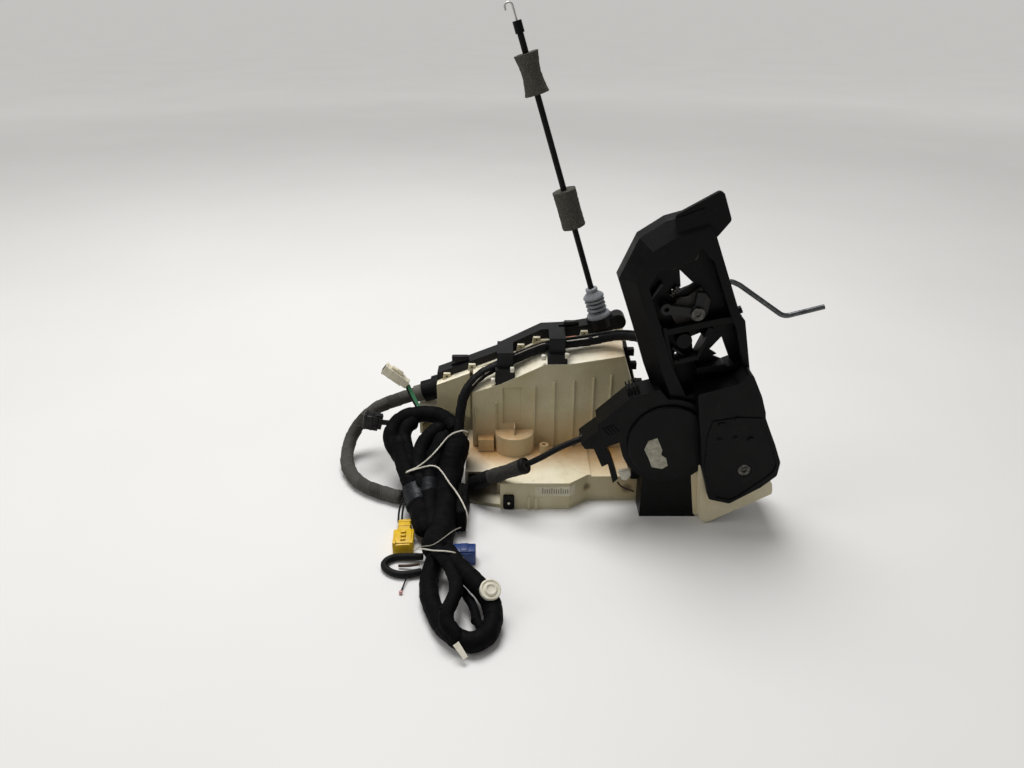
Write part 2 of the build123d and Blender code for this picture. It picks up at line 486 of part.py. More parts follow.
def build_release():
    duct = parts["cable_duct"]
    platform = along_release(rod_z(0, 0, -6, PLATFORM_T, PLATFORM_R))
    knuckle = rod_y(53.5, 131.5, DUCT_Y, DUCT_Y + 14, 7)
    bridge = slab([(40, 124), (53, 126), (53, 138), (42, 136)], DUCT_Y + 3, DUCT_Y + 11)
    solid_duct = slab([(-60, 90), (-60, 60), (DUCT_END_X, 60), (DUCT_END_X, 133.56), (8, 126), (0, 120)],
                      DUCT_Y, DUCT_Y + DUCT_W)
    roof = slab([(20, 60), (80, 60), (66, 98), (58, 126), (20, height_on(COVER_TOP, 20))], SPLIT_Y, BACK_Y)
    keep("cable_elbow", platform + knuckle + bridge - solid_duct - duct - roof)

    rings = 4
    pitch = (BELLOWS_LEN - 6) / rings
    wall = [(CONDUIT_D / 2, 0), (BELLOWS_R, 0), (BELLOWS_R, 2.5)]
    for ring in range(rings):
        base = 2.5 + ring * pitch
        crest = BELLOWS_R - 0.9 * (ring + 1)
        wall += [(crest - 3.2, base + 0.3 * pitch), (crest, base + 0.65 * pitch)]
        wall.append((crest - 0.6, base + 0.95 * pitch))
    wall += [(4.6, BELLOWS_LEN - 2), (4.6, BELLOWS_LEN), (CONDUIT_D / 2, BELLOWS_LEN)]
    bellows = revolve(make_face(Plane.XZ * Polyline(*wall, close=True)), Axis.Z)
    keep("cable_bellows", along_release(Pos(0, 0, PLATFORM_T) * bellows))

    conduit = rod_z(0, 0, PLATFORM_T, CONDUIT_TOP, CONDUIT_D / 2)
    wire_r = WIRE_D / 2
    conduit -= rod_z(0, 0, CONDUIT_TOP - 2 * WIRE_TRAVEL, CONDUIT_TOP, wire_r + CLEAR)
    keep("release_conduit", along_release(conduit))

    straight = rod_z(0, 0, *SLEEVE_LOW, SLEEVE_R)
    low, high = SLEEVE_HIGH
    middle = (low + high) / 2
    waisted = revolve(make_face(Plane.XZ * (
        Polyline((SLEEVE_R, high), (0, high), (0, low), (SLEEVE_R, low))
        + ThreePointArc((SLEEVE_R, low), (SLEEVE_WAIST_R, middle), (SLEEVE_R, high)))), Axis.Z)
    sleeves = [along_release(sleeve - rod_z(0, 0, low - 200, high + 5, CONDUIT_D / 2))
               for sleeve in (straight, waisted)]
    keep("foam_sleeves", Compound(sleeves))

    ferrule = rod_z(0, 0, CONDUIT_TOP - 6, CONDUIT_TOP - 6 + FERRULE_LEN, FERRULE_R)
    ferrule -= rod_z(0, 0, CONDUIT_TOP - 6, CONDUIT_TOP, CONDUIT_D / 2)
    ferrule -= rod_z(0, 0, CONDUIT_TOP - 1, CONDUIT_TOP + 5, wire_r + CLEAR)
    end = CLOSING_ROUTE[-1]
    anchor = rod_y(end[0], end[2], end[1] - 7, end[1] + 2, FERRULE_R) - rod_y(
        end[0], end[2], end[1] - 7, end[1], CONDUIT_D / 2)
    keep("conduit_ferrules", Compound([along_release(ferrule), anchor]))

    top = CONDUIT_TOP + 14
    line = Polyline((0, 0, CONDUIT_TOP - WIRE_TRAVEL - 8), (0, 0, top))
    bend = ThreePointArc((0, 0, top), (-HOOK_R, 0, top + HOOK_R), (-2 * HOOK_R, 0, top))
    tail = Line((-2 * HOOK_R, 0, top), (-2 * HOOK_R, 0, top - 2))
    path = Wire(line.edges() + bend.edges() + tail.edges())
    wire = sweep(Plane(origin=path @ 0, z_dir=path % 0) * Circle(wire_r), path=path)
    keep("release_wire", along_release(wire))

    pin_r = 3.0
    front, back = SPLIT_Y + 2, BACK_Y - WALL - 3
    arms = [(29, 84), (41, 84), (58, 92), (58, 97), (40, 97), (35, 112), (30, 112)]
    lever = slab(arms, front, front + 4, 1.5)
    lever += rod_y(35, 90, front, back - 0.5, 6)
    keep("release_lever", lever - rod_y(35, 90, front, back, pin_r + CLEAR))
    keep("release_lever_pin", rod_y(35, 90, front - 1, back, pin_r))


# ---------------------------------------------------------------- handle carrier
def carrier_blank(skin):
    """The carrier's plain outer form, or what is left of it inside a skin."""
    points = inset(CARRIER_OUTLINE, skin) if skin else CARRIER_OUTLINE
    body = slab(points, CARRIER_FRONT + skin, CARRIER_BACK)
    bevelled = body.faces().sort_by(Axis.Y)[0].edges()
    left_and_top = [edge for edge in bevelled if edge.center().X < 26 or edge.center().Z > 238]
    return chamfer(left_and_top, BEVEL)


def carrier_body():
    body = carrier_blank(0) - carrier_blank(CARRIER_WALL)
    body += slab(inset(DISH_OUTLINE, -CARRIER_WALL), CARRIER_FRONT + CARRIER_WALL, WEB_BACK)
    body -= slab(DISH_OUTLINE, CARRIER_FRONT, WEB_FRONT)
    body += slab(TAB_OUTLINE, TAB_FRONT, TAB_FRONT + TAB_T, TAB_CORNER)
    body += slab(TAB_RIDGE, TAB_FRONT - TAB_RIDGE_T, TAB_FRONT)
    for start, end, width in FRONT_BARS:
        body += bar(start, end, width, CARRIER_FRONT + CARRIER_WALL, WEB_FRONT)
    body += rod_y(*STOP_BOSS, CARRIER_FRONT + 2 * CARRIER_WALL, WEB_FRONT, STOP_BOSS_R)
    for window in WINDOWS:
        body -= slab(window, CARRIER_FRONT - 1, CARRIER_BACK + 1)
    for start, end in BACK_BARS:
        body += bar(start, end, BACK_BAR_T, WEB_BACK, CARRIER_BACK)
    body += bar((40, 53), (40, 111), BACK_BAR_T, CARRIER_FRONT + CARRIER_WALL, CARRIER_BACK)
    # seat of the crank and stud of the locking rod
    body += rod_y(CRANK_X, CRANK_Z, WEB_FRONT - 2, WEB_FRONT, CRANK_HUB_R + 2)
    body -= rod_y(CRANK_X, CRANK_Z, WEB_FRONT - 2, WEB_BACK, CRANK_PIN_R)
    body += rod_y(ROD_X, ROD_Z, WEB_BACK, ROD_Y - ROD_HUB_T / 2 - GAP, 2 * ROD_STUD_R)
    body += rod_y(ROD_X, ROD_Z, WEB_BACK, ROD_Y + ROD_HUB_T / 2 + GAP + ROD_CLIP_T + 0.7, ROD_STUD_R)
    # peg on the right-hand edge
    body += Pos(83.5, (WEB_FRONT + WEB_BACK) / 2, 157) * Rot(0, 90, 0) * Cylinder(3, 4)
    return body


def bar(start, end, width, front, back):
    """A straight rib between two points of the XZ plane."""
    length = hypot(end[0] - start[0], end[1] - start[1])
    tilt = degrees(atan2(end[1] - start[1], end[0] - start[0]))
    centre = Pos((start[0] + end[0]) / 2, (front + back) / 2, (start[1] + end[1]) / 2)
    return centre * Rot(0, -tilt, 0) * Box(length, back - front, width)


def drive_outer():
    disc = rod_y(DRIVE_X, DRIVE_Z, DRIVE_FRONT, DRIVE_BACK, DRIVE_R)
    disc += rod_y(DRIVE_X, DRIVE_Z, DRIVE_FRONT - DRIVE_LID_T, DRIVE_FRONT, DRIVE_LID_R)
    return disc + slab(ARM_OUTLINE, DRIVE_FRONT, ARM_BACK)


def latch_outline(layer):
    """XZ outline of one layer of the latch block, in the latch's frame."""
    right = [(LATCH_W - 4, 0.6), (LATCH_W - 2, 3.4), (LATCH_W, 9), (LATCH_W, LATCH_H)]
    return right + LATCH_LEFT[layer][::-1]


def latch_outer():
    """The latch block: three layers, each reaching further left than the one in front."""
    middle, rear = LATCH_FRONT + LATCH_LAYER, LATCH_FRONT + 2 * LATCH_LAYER
    solid = slab(latch_outline(0), LATCH_FRONT, middle) + slab(latch_outline(1), middle, rear)
    return solid + slab(latch_outline(2), rear, LATCH_BACK)


def build_carrier():
    drive = CARRIER * drive_outer()
    latch = LATCH * latch_outer()
    keep("handle_carrier", CARRIER * carrier_body() - drive - latch)

    crank_front = CARRIER_FRONT + 4
    crank_back = crank_front + CRANK_T
    hub_back = WEB_FRONT - 2 - GAP
    pivot = (CRANK_X + CRANK_ARM[0], CRANK_Z + CRANK_ARM[1])
    crank = rod_y(CRANK_X, CRANK_Z, crank_front, hub_back, CRANK_HUB_R)
    crank += bar((CRANK_X, CRANK_Z), pivot, 7, crank_front, crank_back)
    crank += rod_y(*pivot, crank_front, crank_back, 4.5)
    finger = (CRANK_X + CRANK_FINGER[0], CRANK_Z + CRANK_FINGER[1])
    crank += bar((CRANK_X, CRANK_Z), finger, 6, crank_front, crank_back)
    crank -= rod_y(*pivot, crank_front, crank_back, 1.8)
    crank -= rod_y(CRANK_X, CRANK_Z, crank_front, hub_back, CRANK_PIN_R + CLEAR)
    keep("bell_crank", CARRIER * crank)
    head_front = crank_front - GAP - 2.5
    pin = rod_y(CRANK_X, CRANK_Z, head_front, WEB_BACK, CRANK_PIN_R)
    pin += rod_y(CRANK_X, CRANK_Z, head_front, head_front + 2.5, 5)
    keep("bell_crank_screw", CARRIER * (pin - rod_y(CRANK_X, CRANK_Z, head_front, head_front + 1.5, 2)))

    hub = rod_y(ROD_X, ROD_Z, ROD_Y - ROD_HUB_T / 2, ROD_Y + ROD_HUB_T / 2, ROD_HUB_R)
    hub -= rod_y(ROD_X, ROD_Z, ROD_Y - ROD_HUB_T, ROD_Y + ROD_HUB_T, ROD_STUD_R + CLEAR)
    first = (CARRIER * Pos(ROD_X, ROD_Y, ROD_Z) * Vertex(0, 0, 0)).center()
    bends = [Vector(x, ROD_Y, z) for x, z in ROD_ROUTE]
    towards = (bends[0] - first).normalized() * (ROD_HUB_R - 1)
    path = FilletPolyline(first + towards, *bends, radius=[2 * ROD_D, 2 * ROD_D, 2.5 * ROD_D])
    wire = sweep(Plane(origin=path @ 0, z_dir=path % 0) * Circle(ROD_D / 2), path=path)
    keep("lock_rod", CARRIER * hub + wire)
    clip_front = ROD_Y + ROD_HUB_T / 2 + GAP
    clip = rod_y(ROD_X, ROD_Z, clip_front, clip_front + ROD_CLIP_T, 4.5)
    clip -= rod_y(ROD_X, ROD_Z, clip_front, clip_front + ROD_CLIP_T, ROD_STUD_R)
    keep("lock_rod_clip", CARRIER * clip)


# ---------------------------------------------------------------- closing drive
def build_drive():
    cup_r = DRIVE_R - DRIVE_WALL
    cup = rod_y(DRIVE_X, DRIVE_Z, DRIVE_FRONT, DRIVE_BACK, DRIVE_R)
    cup += slab(ARM_OUTLINE, DRIVE_FRONT, ARM_BACK)
    for step in range(TICK_COUNT):
        x = TICK_X + step * TICK_PITCH
        cup += bar((x, 106), (x - 2.5, 114), 1.2, DRIVE_FRONT - 1, DRIVE_FRONT)
    for step in range(ARM_FIN_COUNT):
        x = ARM_FIN_X + step * ARM_FIN_PITCH
        cup += bar((x, 126), (x + 1.5, 136), 1.4, DRIVE_FRONT + 5, ARM_BACK - 5)
    cup += slab(FINGER_OUTLINE, DRIVE_FRONT + 2, DRIVE_FRONT + 16)
    cup -= rod_y(DRIVE_X, DRIVE_Z, DRIVE_FRONT + DRIVE_WALL, DRIVE_BACK - DRIVE_WALL, cup_r)
    cup -= rod_y(DRIVE_X, DRIVE_Z, DRIVE_FRONT, DRIVE_FRONT + DRIVE_WALL, DRIVE_LID_R - DRIVE_WALL)
    cup -= slab(inset(ARM_OUTLINE, DRIVE_WALL), DRIVE_FRONT + DRIVE_WALL, ARM_BACK - DRIVE_WALL)
    floor = DRIVE_BACK - DRIVE_WALL
    start, towards = Vector(*CLOSING_ROUTE[0]), Vector(*CLOSING_ROUTE[1])
    nozzle = Plane(origin=start, z_dir=start - towards) * rod_z(0, 0, 0, NOZZLE_LEN, NOZZLE_R)
    nozzle -= CARRIER * slab(inset(ARM_OUTLINE, DRIVE_WALL), DRIVE_FRONT + DRIVE_WALL, ARM_BACK - DRIVE_WALL)
    keep("drive_housing", CARRIER * cup + nozzle)
    lid_front = DRIVE_FRONT - DRIVE_LID_T
    lid = rod_y(DRIVE_X, DRIVE_Z, lid_front, DRIVE_FRONT, DRIVE_LID_R)
    lid = fillet(lid.faces().sort_by(Axis.Y)[0].edges(), 1.5)
    keep("drive_lid", CARRIER * lid)
    keep("quadrant_axle", CARRIER * rod_y(DRIVE_X, DRIVE_Z, DRIVE_FRONT, floor, AXLE_R))

    front = DRIVE_FRONT + 12
    back = front + QUADRANT_T
    rim = QUADRANT_R + 2
    sector = make_face(Plane.XZ.offset(-front) * (
        Line((0, 0), (rim * cos(radians(100)), rim * sin(radians(100))))
        + CenterArc((0, 0), rim, 100, 110)
        + Line((rim * cos(radians(210)), rim * sin(radians(210))), (0, 0))))
    quadrant = Pos(DRIVE_X, 0, DRIVE_Z) * extrude(sector, QUADRANT_T, dir=(0, 1, 0))
    quadrant += rod_y(DRIVE_X, DRIVE_Z, front - 4, back + 4, 9)
    groove = rod_y(DRIVE_X, DRIVE_Z, front + 2.5, back - 2.5, rim + 1)
    groove -= rod_y(DRIVE_X, DRIVE_Z, front + 2.5, back - 2.5, QUADRANT_R)
    quadrant -= groove
    quadrant -= rod_y(DRIVE_X, DRIVE_Z, front - 4, back + 4, AXLE_R + CLEAR)
    keep("closing_quadrant", CARRIER * quadrant)

    foot = block(FOOT_LEFT, FOOT_RIGHT, FOOT_FRONT, FOOT_BACK, 0, FOOT_TOP)
    foot += block(FOOT_LEFT - FOOT_TONGUE, BOX_RIGHT, FOOT_BACK - 2, FOOT_BACK + 36,
                  LEDGE_Z - SIDE_BOX_STEP, FOOT_TOP)
    foot -= CARRIER * drive_outer()
    foot -= LATCH * latch_outer()
    foot -= block(BOX_LEFT, BOX_RIGHT + 2, SIDE_BOX_Y - 1, BACK_Y, 0, LEDGE_Z - SIDE_BOX_STEP)
    keep("drive_foot", foot)


# ---------------------------------------------------------------- latch
def latch_screw_bosses(bottom, top, radius):
    return [rod_z(x, y, bottom, top, radius) for x, y in BOLTS]


def build_latch():
    slot_half = SLOT_W / 2
    slot_deep = SLOT_END - slot_half
    housing = latch_outer()
    under_drive = rod_y(DRIVE_X, DRIVE_Z, LATCH_FRONT, LATCH_BACK, DRIVE_R + LATCH_WALL)
    inner = slab(inset(latch_outline(0), LATCH_WALL), LATCH_FRONT + LATCH_WALL, LATCH_BACK - LATCH_WALL)
    housing -= inner - LATCH.inverse() * (CARRIER * under_drive)
    housing -= block(4.5, LATCH_W - 4.4, LATCH_FRONT + LATCH_WALL, LATCH_BACK - LATCH_WALL,
                     PLATE_T, 2 * LATCH_WALL)
    for boss in latch_screw_bosses(0, PLATE_T + BOLT_BOSS_LEN, BOLT_BOSS_R):
        housing -= boss
    housing -= block(4, LATCH_W - 6, LATCH_FRONT + 2, LATCH_BACK, -1, PLATE_T)
    housing -= block(SLOT_X - slot_half, SLOT_X + slot_half, slot_deep, LATCH_BACK,
                     -1, CLAW_BASE + CLAW_T + 6)
    housing += block(LATCH_WALL + 1, LATCH_W - LATCH_WALL, LATCH_FRONT + LATCH_WALL, LATCH_BACK - LATCH_WALL,
                     BACK_PLATE_Z + PLATE_T, BACK_PLATE_Z + PLATE_T + 3) - block(
        SLOT_X - slot_half, SLOT_X + slot_half, slot_deep, LATCH_BACK, 0, LATCH_H)
    keep("latch_housing", LATCH * housing - CARRIER * drive_outer())

    plate_outline = block(4, LATCH_W - 6, LATCH_FRONT + 2, LATCH_BACK, 0, PLATE_T)
    for boss in latch_screw_bosses(PLATE_T, PLATE_T + BOLT_BOSS_LEN, BOLT_BOSS_R):
        plate_outline += boss
    for hole in latch_screw_bosses(0, PLATE_T + BOLT_BOSS_LEN, BOLT_R):
        plate_outline -= hole
    mouth = block(SLOT_X - slot_half, SLOT_X + slot_half, SLOT_END, LATCH_BACK, 0, PLATE_T)
    mouth += rod_z(SLOT_X, SLOT_END, 0, PLATE_T, slot_half)
    keep("latch_face_plate", LATCH * (plate_outline - mouth))

    back_plate = block(6, LATCH_W - 4, LATCH_FRONT + 4, LATCH_BACK - 4, BACK_PLATE_Z, BACK_PLATE_Z + PLATE_T)
    back_plate -= block(SLOT_X - slot_half, SLOT_X + slot_half, slot_deep, LATCH_BACK, 0, LATCH_H)
    keep("latch_back_plate", LATCH * back_plate)

    turn = Pos(CLAW_X, CLAW_Y, 0) * Rot(0, 0, CLAW_OPEN)
    top = CLAW_BASE + CLAW_T
    claw = rod_z(0, 0, CLAW_BASE, top, CLAW_R)
    claw -= block(CLAW_REACH, CLAW_R + 2, -CLAW_SLOT / 2, CLAW_SLOT / 2, CLAW_BASE, top)
    claw -= rod_z(CLAW_REACH, 0, CLAW_BASE, top, CLAW_SLOT / 2)
    claw -= block(-CLAW_R, -CLAW_R * 4 / 9, -CLAW_R, -CLAW_R / 9, CLAW_BASE, top)
    claw -= Rot(0, 0, -CLAW_NOTCH_ANGLE) * block(CLAW_R - 3.5, CLAW_R + 1, 0, CLAW_NOTCH, CLAW_BASE, top)
    claw -= rod_z(0, 0, CLAW_BASE, top, LATCH_PIN_R + CLEAR)
    keep("latch_claw", LATCH * turn * claw)
    keep("latch_pins", LATCH * Compound([
        rod_z(CLAW_X, CLAW_Y, PLATE_T, BACK_PLATE_Z, LATCH_PIN_R),
        rod_z(PAWL_X, PAWL_Y, PLATE_T, BACK_PLATE_Z, LATCH_PIN_R - 1)]))

    tip = (CLAW_X + (CLAW_R + 0.6) * cos(radians(-28)), CLAW_Y + (CLAW_R + 0.6) * sin(radians(-28)))
    pawl = plate([(PAWL_X, PAWL_Y - PAWL_R), (PAWL_X + 2, PAWL_Y + PAWL_R - 1), (tip[0] + 1.2, tip[1] + 1),
                  (tip[0] - 1.5, tip[1] - 5.5), (tip[0] + 3, tip[1] - 6)], CLAW_BASE, top)
    pawl += rod_z(PAWL_X, PAWL_Y, CLAW_BASE, top, PAWL_R)
    pawl -= rod_z(CLAW_X, CLAW_Y, CLAW_BASE, top, CLAW_R + 0.5)
    keep("latch_pawl", LATCH * (pawl - rod_z(PAWL_X, PAWL_Y, CLAW_BASE, top, LATCH_PIN_R - 1 + CLEAR)))

    cover = CARRIER * slab(COVER_OUTLINE, COVER_FRONT, COVER_SKIRT_BACK, 3)
    cover -= CARRIER * slab(inset(COVER_OUTLINE, WALL), COVER_FRONT + WALL, COVER_SKIRT_BACK)
    cover += CARRIER * rod_y(*COVER_SCREW, COVER_FRONT, LATCH_FRONT, 7)
    cover -= CARRIER * rod_y(*COVER_SCREW, COVER_FRONT, COVER_FRONT + 3, 5.5)
    cover -= CARRIER * rod_y(*COVER_SCREW, COVER_FRONT + 3, LATCH_FRONT, 3)
    for x, z in COVER_PEGS:
        cover += CARRIER * rod_y(x, z, COVER_FRONT - 1.5, COVER_FRONT, 2.6)
    cover -= LATCH * latch_outer()
    cover -= CARRIER * drive_outer()
    cover -= CARRIER * slab(CARRIER_OUTLINE, CARRIER_FRONT, CARRIER_BACK)
    keep("latch_cover", cover)
    screw = rod_y(*COVER_SCREW, COVER_FRONT + 0.6, COVER_FRONT + 3, 5)
    screw += rod_y(*COVER_SCREW, COVER_FRONT + 3, LATCH_FRONT, 3)
    keep("cover_screw", CARRIER * (screw - rod_y(*COVER_SCREW, COVER_FRONT + 0.6, COVER_FRONT + 2, 2.2)))


# ---------------------------------------------------------------- hose, loom and harness
def build_port():
    lean = Pos(-108, 45, PORT_Z) * Rot(0, -90 - PORT_DROP, 0)
    port = lean * rod_z(0, 0, -6, PORT_LEN, PORT_R)
    port += lean * rod_z(0, 0, -6, 3, PORT_R + 2)
    port -= block(-108, -80, 20, 70, 40, 100)
    keep("hose_port", port)
    keep("hose_collar", lean * rod_z(0, 0, PORT_LEN, PORT_LEN + COLLAR_LEN, COLLAR_R))


def build_cords():
    keep("duct_hose", tube("duct_hose", HOSE_ROUTE, HOSE_D))
    keep("roof_loom", tube("roof_loom", LOOM_ROUTE, LOOM_D))
    closing = tube("closing_conduit", CLOSING_ROUTE, CONDUIT_D)
    keep("closing_conduit", closing)
    start, end = CLOSING_SLEEVE
    origin, target = Vector(*CLOSING_ROUTE[2]), Vector(*CLOSING_ROUTE[3])
    along = Plane(origin=origin, z_dir=target - origin)
    sleeve = along * (rod_z(0, 0, start, end, 6.3) - rod_z(0, 0, start, end, CONDUIT_D / 2 + SLEEVE_SLACK))
    keep("closing_foam_sleeve", sleeve)
    for name, points, diameter in (
            ("harness_trunk", TRUNK_ROUTE, TRUNK_D), ("harness_side_trunk", SIDE_TRUNK_ROUTE, SIDE_TRUNK_D),
            ("harness_upper_loop", UPPER_LOOP_ROUTE, UPPER_LOOP_D), ("harness_fold", FOLD_ROUTE, FOLD_D),
            ("harness_lower_loop", LOWER_LOOP_ROUTE, LOWER_LOOP_D),
            ("harness_inner_loop", INNER_LOOP_ROUTE, INNER_LOOP_D),
            ("harness_cross_strand", CROSS_STRAND_ROUTE, CROSS_STRAND_D),
            ("pigtail_loop", PIGTAIL_ROUTE, PIGTAIL_D)):
        keep(name, tube(name, points, diameter))


def wire_run(start, end, radius):
    """A short straight bundle of wires between two points."""
    first, last = Vector(*start), Vector(*end)
    return Plane(origin=first, z_dir=last - first) * rod_z(0, 0, 0, (last - first).length, radius)


def build_connectors():
    pad = block(-85, -76, -93, -50, 1.5, 24)
    keep("trunk_foam_pad", fillet(pad.edges().filter_by(Axis.Y), 3.8))
    lean = Pos(-144, 30, 84) * Rot(0, 39, 0)
    cream = lean * (Box(26, 9, 9) + Pos(-2, 0, 5) * Box(12, 5, 3) - Pos(-13, 0, 0) * Box(8, 6, 6))
    cream += wire_run((-135, 29, 76.5), (-119, 15.5, 60.8), 1.8)
    keep("connector_cream", cream)
    black = Pos(-166, 20, 44) * Rot(0, 12, 0) * (Box(17, 12, 15) - Pos(-6, 0, 0) * Box(8, 8, 10))
    black += wire_run((-160, 18, 43), (-144.5, 6.5, 48.5), 2.5)
    keep("connector_black", black)
    yellow = Pos(-127, -107, 5.5) * Rot(0, 0, 8) * (Box(16, 22, 11) + Pos(0, 18, -0.5) * Box(9, 15, 8)
                                                 + Pos(0, 2, 6.2) * Box(6, 12, 2))
    keep("connector_yellow", yellow)
    keep("connector_blue", Pos(-76.3, -124.5, 6.5) * (Box(17, 10, 13) - Pos(5, 0, 0) * Box(8, 7, 9)))
    tilt = Pos(-55, -185, 23) * Rot(32, 12, 0)
    disc = tilt * (rod_z(0, 0, -2, 2, 7.5) + rod_z(0, 0, 2, 3, 4.5) + rod_z(0, 0, -8, -2, 4))
    keep("harness_grommet", disc)


# ---------------------------------------------------------------- everything
build_housing()
build_servo()
build_release()
build_carrier()
build_drive()
build_latch()
build_port()
build_cords()
build_connectors()

os.makedirs("parts", exist_ok=True)
for node, shape in parts.items():
    export_step(shape, f"parts/{node}.step")
print(len(parts), "nodes")
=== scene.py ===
"""A door latch actuator: aged cream housing, black carrier, cables and a taped wiring harness.

Metres, in the part's own frame: the origin is on the underside of the cream housing, +X runs
towards the latch, +Y away from the label face and +Z up.
"""
import json
from math import pi, radians, sin

import bmesh
import bpy
from mathutils import Matrix, Vector, noise


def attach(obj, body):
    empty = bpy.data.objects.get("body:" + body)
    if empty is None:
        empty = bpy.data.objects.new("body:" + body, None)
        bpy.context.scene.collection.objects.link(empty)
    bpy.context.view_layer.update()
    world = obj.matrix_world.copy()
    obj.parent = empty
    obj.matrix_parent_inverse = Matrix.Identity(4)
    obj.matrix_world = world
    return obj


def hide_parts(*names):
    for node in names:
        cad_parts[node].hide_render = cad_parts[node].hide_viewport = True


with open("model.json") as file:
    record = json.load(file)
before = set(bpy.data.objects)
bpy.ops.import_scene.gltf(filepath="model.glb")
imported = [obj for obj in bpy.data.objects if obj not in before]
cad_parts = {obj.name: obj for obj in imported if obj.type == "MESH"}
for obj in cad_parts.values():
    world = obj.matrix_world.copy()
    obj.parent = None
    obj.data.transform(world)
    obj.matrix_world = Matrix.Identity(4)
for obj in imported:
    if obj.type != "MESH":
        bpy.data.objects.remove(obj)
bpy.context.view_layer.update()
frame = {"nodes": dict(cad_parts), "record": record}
NODES = frame["nodes"]
MM = 0.001

# ---------------------------------------------------------------- places shared with the part
# The black carrier's own frame, and the frame of the conduit that pulls the release lever.
CARRIER = Matrix.Translation((0.119, 0, 0)) @ Matrix.Rotation(radians(-24), 4, "Y")
RELEASE = Matrix.Translation((0.038, 0.048, 0.132)) @ Matrix.Rotation(radians(-17.1), 4, "Y")
LEDGE_Z = 0.0254
# How far along Y these faces stand, in millimetres.
LABEL_FACE, COVER_FACE, DRIVE_FACE, DISH_FLOOR = -55.4, -84, -73, -52.2

HOSE_D, LOOM_D, CONDUIT_D = 0.012, 0.009, 0.005
TRUNK_D, SIDE_TRUNK_D, FOLD_D = 0.024, 0.020, 0.014
UPPER_LOOP_D, LOWER_LOOP_D, INNER_LOOP_D = 0.015, 0.014, 0.010
CROSS_STRAND_D, PIGTAIL_D = 0.0065, 0.0055
# Routes are points in millimetres, listed one by one.
HOSE_ROUTE = [
    (-129.1, 45, 58.5), (-147, 45, 53), (-172, 44.5, 42), (-189, 37, 23), (-193.5, 19, 8.6),
    (-187, -6, 6.3), (-173, -27, 6.3), (-153, -40, 6.3), (-134, -48, 6.3)]
LOOM_ROUTE = [
    (86, -47, 131), (84, -25, 133), (73, 1, 133), (51, 19, 129), (27, 23, 121), (-6, 22, 117.8),
    (-20, 21.5, 113.3), (-44, 21, 102), (-67, 16, 93.5), (-82, 6, 80), (-85.5, -1, 61), (-86.8, -8, 47.5)]
CLOSING_ROUTE = [
    (15.2, -58, 69.4), (1, -60, 65), (-24, -62.5, 49.5), (-68.5, -46, 21.5), (-73.5, -32, 14),
    (-73.5, -20, 14)]
TRUNK_ROUTE = [
    (-87, -9, 46), (-88, -22, 38.5), (-93, -39, 26.5), (-96, -60, 15.5), (-94.5, -84, 12.5),
    (-96.5, -108, 12.4), (-99, -134, 12.4)]
SIDE_TRUNK_ROUTE = [
    (-131, -27, 27), (-124.5, -41, 17.5), (-119, -62, 11.2), (-112, -84, 10.4), (-106.5, -104, 10.4)]
UPPER_LOOP_ROUTE = [
    (-90, -1, 47), (-99, 8, 53), (-112, 14, 54), (-127.5, 14, 53.6), (-141, 8, 50.5), (-147.5, -3, 43),
    (-143.5, -13, 35), (-134, -23, 28.5)]
FOLD_ROUTE = [(-96, -6, 47), (-104.5, -12, 40), (-113.5, -24, 32.5), (-121, -34, 23.5)]
LOWER_LOOP_ROUTE = [
    (-96.5, -129, 10), (-101, -148, 7.5), (-100, -170, 7.2), (-93, -191, 7.2), (-83, -209, 7.2),
    (-70.5, -219, 7.2), (-59, -216, 7.2), (-52.5, -203, 8), (-53, -190, 12), (-60, -178, 17),
    (-71, -166, 19.5), (-81, -153, 20.5), (-88, -139, 19)]
INNER_LOOP_ROUTE = [
    (-97, -134, 19.5), (-90, -148, 21), (-82.5, -162, 20.5), (-78.6, -176, 19), (-80, -190, 18),
    (-86.5, -202, 16.5)]
CROSS_STRAND_ROUTE = [(-81, -159, 8.5), (-75.5, -169, 8), (-69, -180, 8.5), (-65, -191, 9), (-64.5, -201, 9)]
PIGTAIL_ROUTE = [
    (-108.5, -126, 5), (-120.5, -123.5, 3.4), (-133, -124, 3), (-138.5, -133, 3), (-131, -142.5, 3),
    (-119, -145.5, 3), (-107.5, -142, 4)]


# ---------------------------------------------------------------- finishes
# Where the mix node keeps its colour sockets.
MIX_FACTOR, MIX_FIRST, MIX_SECOND, MIX_COLOUR = 0, 6, 7, 2


